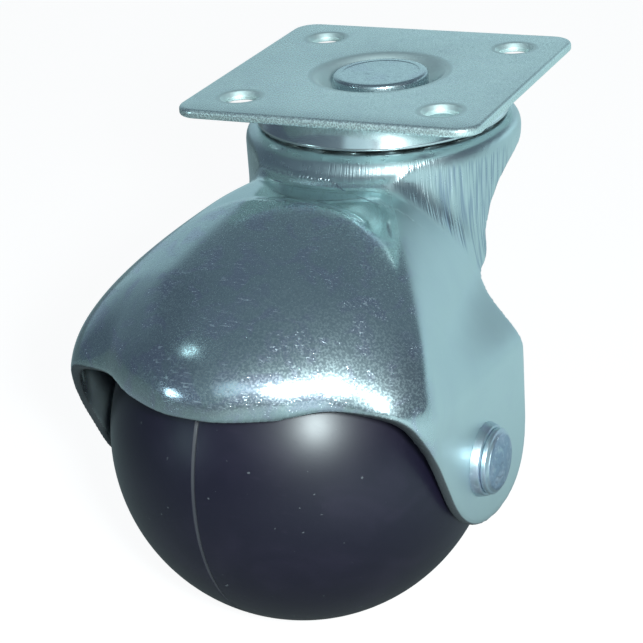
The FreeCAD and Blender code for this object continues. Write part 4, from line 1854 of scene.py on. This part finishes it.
def compass(azimuth: float, elevation: float) -> Vector:
    """Direction from degrees to the right of the front and degrees above the floor."""
    turn, tilt = math.radians(azimuth), math.radians(elevation)
    return Vector((math.sin(turn) * math.cos(tilt), -math.cos(turn) * math.cos(tilt), math.sin(tilt)))


@dataclass
class Studio:
    """Camera at the photograph's place, white floor, a lamp beside the lens and soft pale walls."""

    azimuth: float = 25.533
    elevation: float = 23.518
    roll: float = -4.157
    focal_pixels: float = 2009.684
    eye: tuple[float, float, float] = (102.302, -237.929, 76.973)
    sensor_width: float = 36.0
    near_clip: float = 0.01
    floor_level: float = -64.95
    room: Color = (0.110, 0.154, 0.192)
    tint: Color = (0.70, 1.0, 1.05)
    walls: tuple[Wall, ...] = (
        Wall(180.0, 25.0, 84.0, 21.0, 27.0, 0.44, 0.12),
        Wall(140.0, 12.0, 40.0, 8.0, 20.0, 0.30),
        Wall(-80.0, 25.0, 55.0, 40.0, 70.0, -0.06),
        Wall(80.0, 20.0, 45.0, 40.0, 70.0, -0.07),
    )
    panels: tuple[Panel, ...] = (
        Panel(-75.0, 54.0, 3.6, 2.4),
        Panel(-45.0, 6.0, 6.5, 6.0),
        Panel(-166.0, 17.0, 15.0, 0.17),
        Panel(-1.0, 28.0, 15.0, 0.45),
    )
    floor_half: float = 3.0
    floor_color: Color = (0.86, 0.88, 0.88)
    floor_rough: float = 0.9
    floor_white: Color = (1.16, 1.16, 1.16)
    floor_glow: float = 0.8
    # Painted light of the floor in reflections: brighter to the right and back, with a painted shadow round
    # the ball.
    floor_side: Span = (-120.0, 60.0)
    floor_way: Span = (0.8, 0.6)
    floor_shade: Span = (10.0, 90.0)
    floor_painted_shadow: float = 0.07
    ball_y: float = -27.5
    floor_dark: float = 0.12
    floor_painted_glow: float = 0.74
    lamp_shift: Span = (32.0, 4.0)
    lamp_size: float = 30.0
    lamp_power: float = 0.85
    lamp_tint: Color = (0.86, 1.0, 1.02)

    def axes(self) -> tuple[Vector, Vector, Vector]:
        """Right, up and back of the camera.

        Returns:
            The three directions.
        """
        back = compass(self.azimuth, self.elevation)
        right = (-back).cross(Vector((0.0, 0.0, 1.0))).normalized()
        up = right.cross(-back)
        cosine, sine = math.cos(math.radians(self.roll)), math.sin(math.radians(self.roll))
        return right * cosine + up * sine, up * cosine - right * sine, back

    def stand(self, item: Any, name: str, place: Vector) -> bpy.types.Object:
        """Puts a camera or a lamp at a place in millimetres, facing as the camera does.

        Args:
            item: the camera or lamp.
            name: its name.
            place: the place.

        Returns:
            The object.
        """
        stand = bpy.data.objects.new(name, item)
        frame = Matrix(self.axes()).transposed().to_4x4()
        stand.matrix_world = Matrix.Translation(place * MM) @ frame
        bpy.context.scene.collection.objects.link(stand)
        return stand

    def camera(self) -> None:
        """Places the camera."""
        data = bpy.data.cameras.new("camera")
        data.sensor_width = self.sensor_width
        data.lens = self.focal_pixels * self.sensor_width / PHOTO_SIDE
        data.clip_start = self.near_clip
        bpy.context.scene.camera = self.stand(data, "camera", Vector(self.eye))

    def lamp(self) -> None:
        """Places the small square lamp beside the lens."""
        right, up, _ = self.axes()
        data = bpy.data.lights.new("lens_lamp", "AREA")
        data.size = self.lamp_size * MM
        data.energy = self.lamp_power
        data.color = self.lamp_tint
        place = Vector(self.eye) + right * self.lamp_shift[0] + up * self.lamp_shift[1]
        self.stand(data, "lens_lamp", place)

    def floor(self) -> None:
        """White floor that keeps a soft shadow; in reflections it glows with painted light, brighter to the
        right and back, with a painted shadow round the ball.
        """
        mesh = bpy.data.meshes.new("floor")
        half = self.floor_half
        level = self.floor_level * MM
        corners = [(x, y, level) for x, y in ((-half, -half), (half, -half), (half, half), (-half, half))]
        mesh.from_pydata(corners, [], [(0, 1, 2, 3)])
        graph = SurfaceGraph("pale_floor")
        graph.dress(self.floor_color, self.floor_rough, 0.0)
        path = graph.node("ShaderNodeLightPath")
        seen = graph.value(path.outputs["Is Camera Ray"])
        mirrored = graph.value(path.outputs["Is Glossy Ray"])
        x, y, _ = graph.axes(graph.place)
        # Painted light: the floor seen in reflections grows brighter to the right and back.
        side = (x * self.floor_way[0] + y * self.floor_way[1]).ramp(*self.floor_side)
        side = side * (self.floor_painted_glow - self.floor_dark) + self.floor_dark
        # Painted shadow: the floor seen in reflections darkens round the ball.
        away = length_of(x, y - self.ball_y).ramp(*self.floor_shade)
        away = away * (1.0 - self.floor_painted_shadow) + self.floor_painted_shadow
        painted_reflection_light = graph.vector(*[side * away * part for part in self.tint])
        light = graph.mix(seen, painted_reflection_light, self.floor_white)
        glow = graph.node("ShaderNodeEmission", None, {"Color": light, "Strength": 1.0})
        graph.cover((seen + mirrored).clamped() * self.floor_glow, glow)
        mesh.materials.append(graph.material)
        floor = bpy.data.objects.new("floor", mesh)
        bpy.context.scene.collection.objects.link(floor)

    def world(self) -> None:
        """Dark room with soft pale zones, and white where the camera looks past the part."""
        world = bpy.data.worlds.new("studio")
        world.use_nodes = True
        graph = Graph(world.node_tree)
        world.node_tree.nodes.clear()
        x, y, z = graph.axes(graph.node("ShaderNodeTexCoord").outputs["Generated"])
        light: Number = 0.0
        for source in (*self.walls, *self.panels):
            light = source.light(x, y, z) + light
        room = graph.vector(*[light * part + dark for part, dark in zip(self.tint, self.room)])
        path = graph.node("ShaderNodeLightPath")
        seen = graph.value(path.outputs["Is Camera Ray"])
        color = graph.mix(seen, room, (1.0, 1.0, 1.0))
        shader = graph.node("ShaderNodeBackground", None, {"Color": color, "Strength": 1.0})
        output = graph.node("ShaderNodeOutputWorld")
        graph.tree.links.new(shader.outputs[0], output.inputs["Surface"])
        bpy.context.scene.world = world

    def build(self) -> None:
        """Sets the whole studio."""
        self.camera()
        self.floor()
        self.world()
        self.lamp()
        bpy.context.scene.view_settings.view_transform = "Standard"


def finishes() -> dict[Slot, Material]:
    """Builds every finish of the caster.

    Returns:
        The material of each slot.
    """
    return {
        Slot.ZINC_SHEET: PlateFinish(
            "zinc_sheet", pale=(0.83, 0.95, 0.93), shade=(0.73, 0.86, 0.85), violet_share=0.1,
            smooth=0.22, rough=0.30, satin_rough=0.6, haze=0.5, haze_rough=0.6,
            depth=0.0003, scratch_depth=0.003, scratch_shine=0.1,
        ).material(),
        Slot.ZINC_HOOD: HoodFinish("zinc_hood").material(),
        Slot.BRIGHT_RACE: ZincFinish(
            "bright_race", pale=(0.80, 0.85, 0.86), smooth=0.15, rough=0.19, polish=1.0, violet_share=0.2
        ).material(),
        Slot.ZINC_PIN: ZincFinish(
            "zinc_pin", smooth=0.20, rough=0.26, grain=0.5, depth=0.001, violet_share=0.3
        ).material(),
        Slot.BEARING_STEEL: BearingFinish("bearing_steel").material(),
        Slot.BLACK_PLASTIC: PlasticFinish("black_plastic").material(),
    }


def main() -> None:
    """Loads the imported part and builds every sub-assembly round it."""
    logging.basicConfig(level=logging.INFO, format="%(name)s: %(message)s")
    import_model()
    finish = finishes()
    peened = PeenFinish("zinc_peened", shade=(0.36, 0.45, 0.58), smooth=0.34, rough=0.40, depth=0.001)
    fork = HoodedFork(finish=finish, peened=peened.material())
    SwivelPlate(finish=finish).build()
    fork.build()
    BallWheel(finish=finish).build(fork.axle())
    Studio().build()


if __name__ == "__main__":
    main()
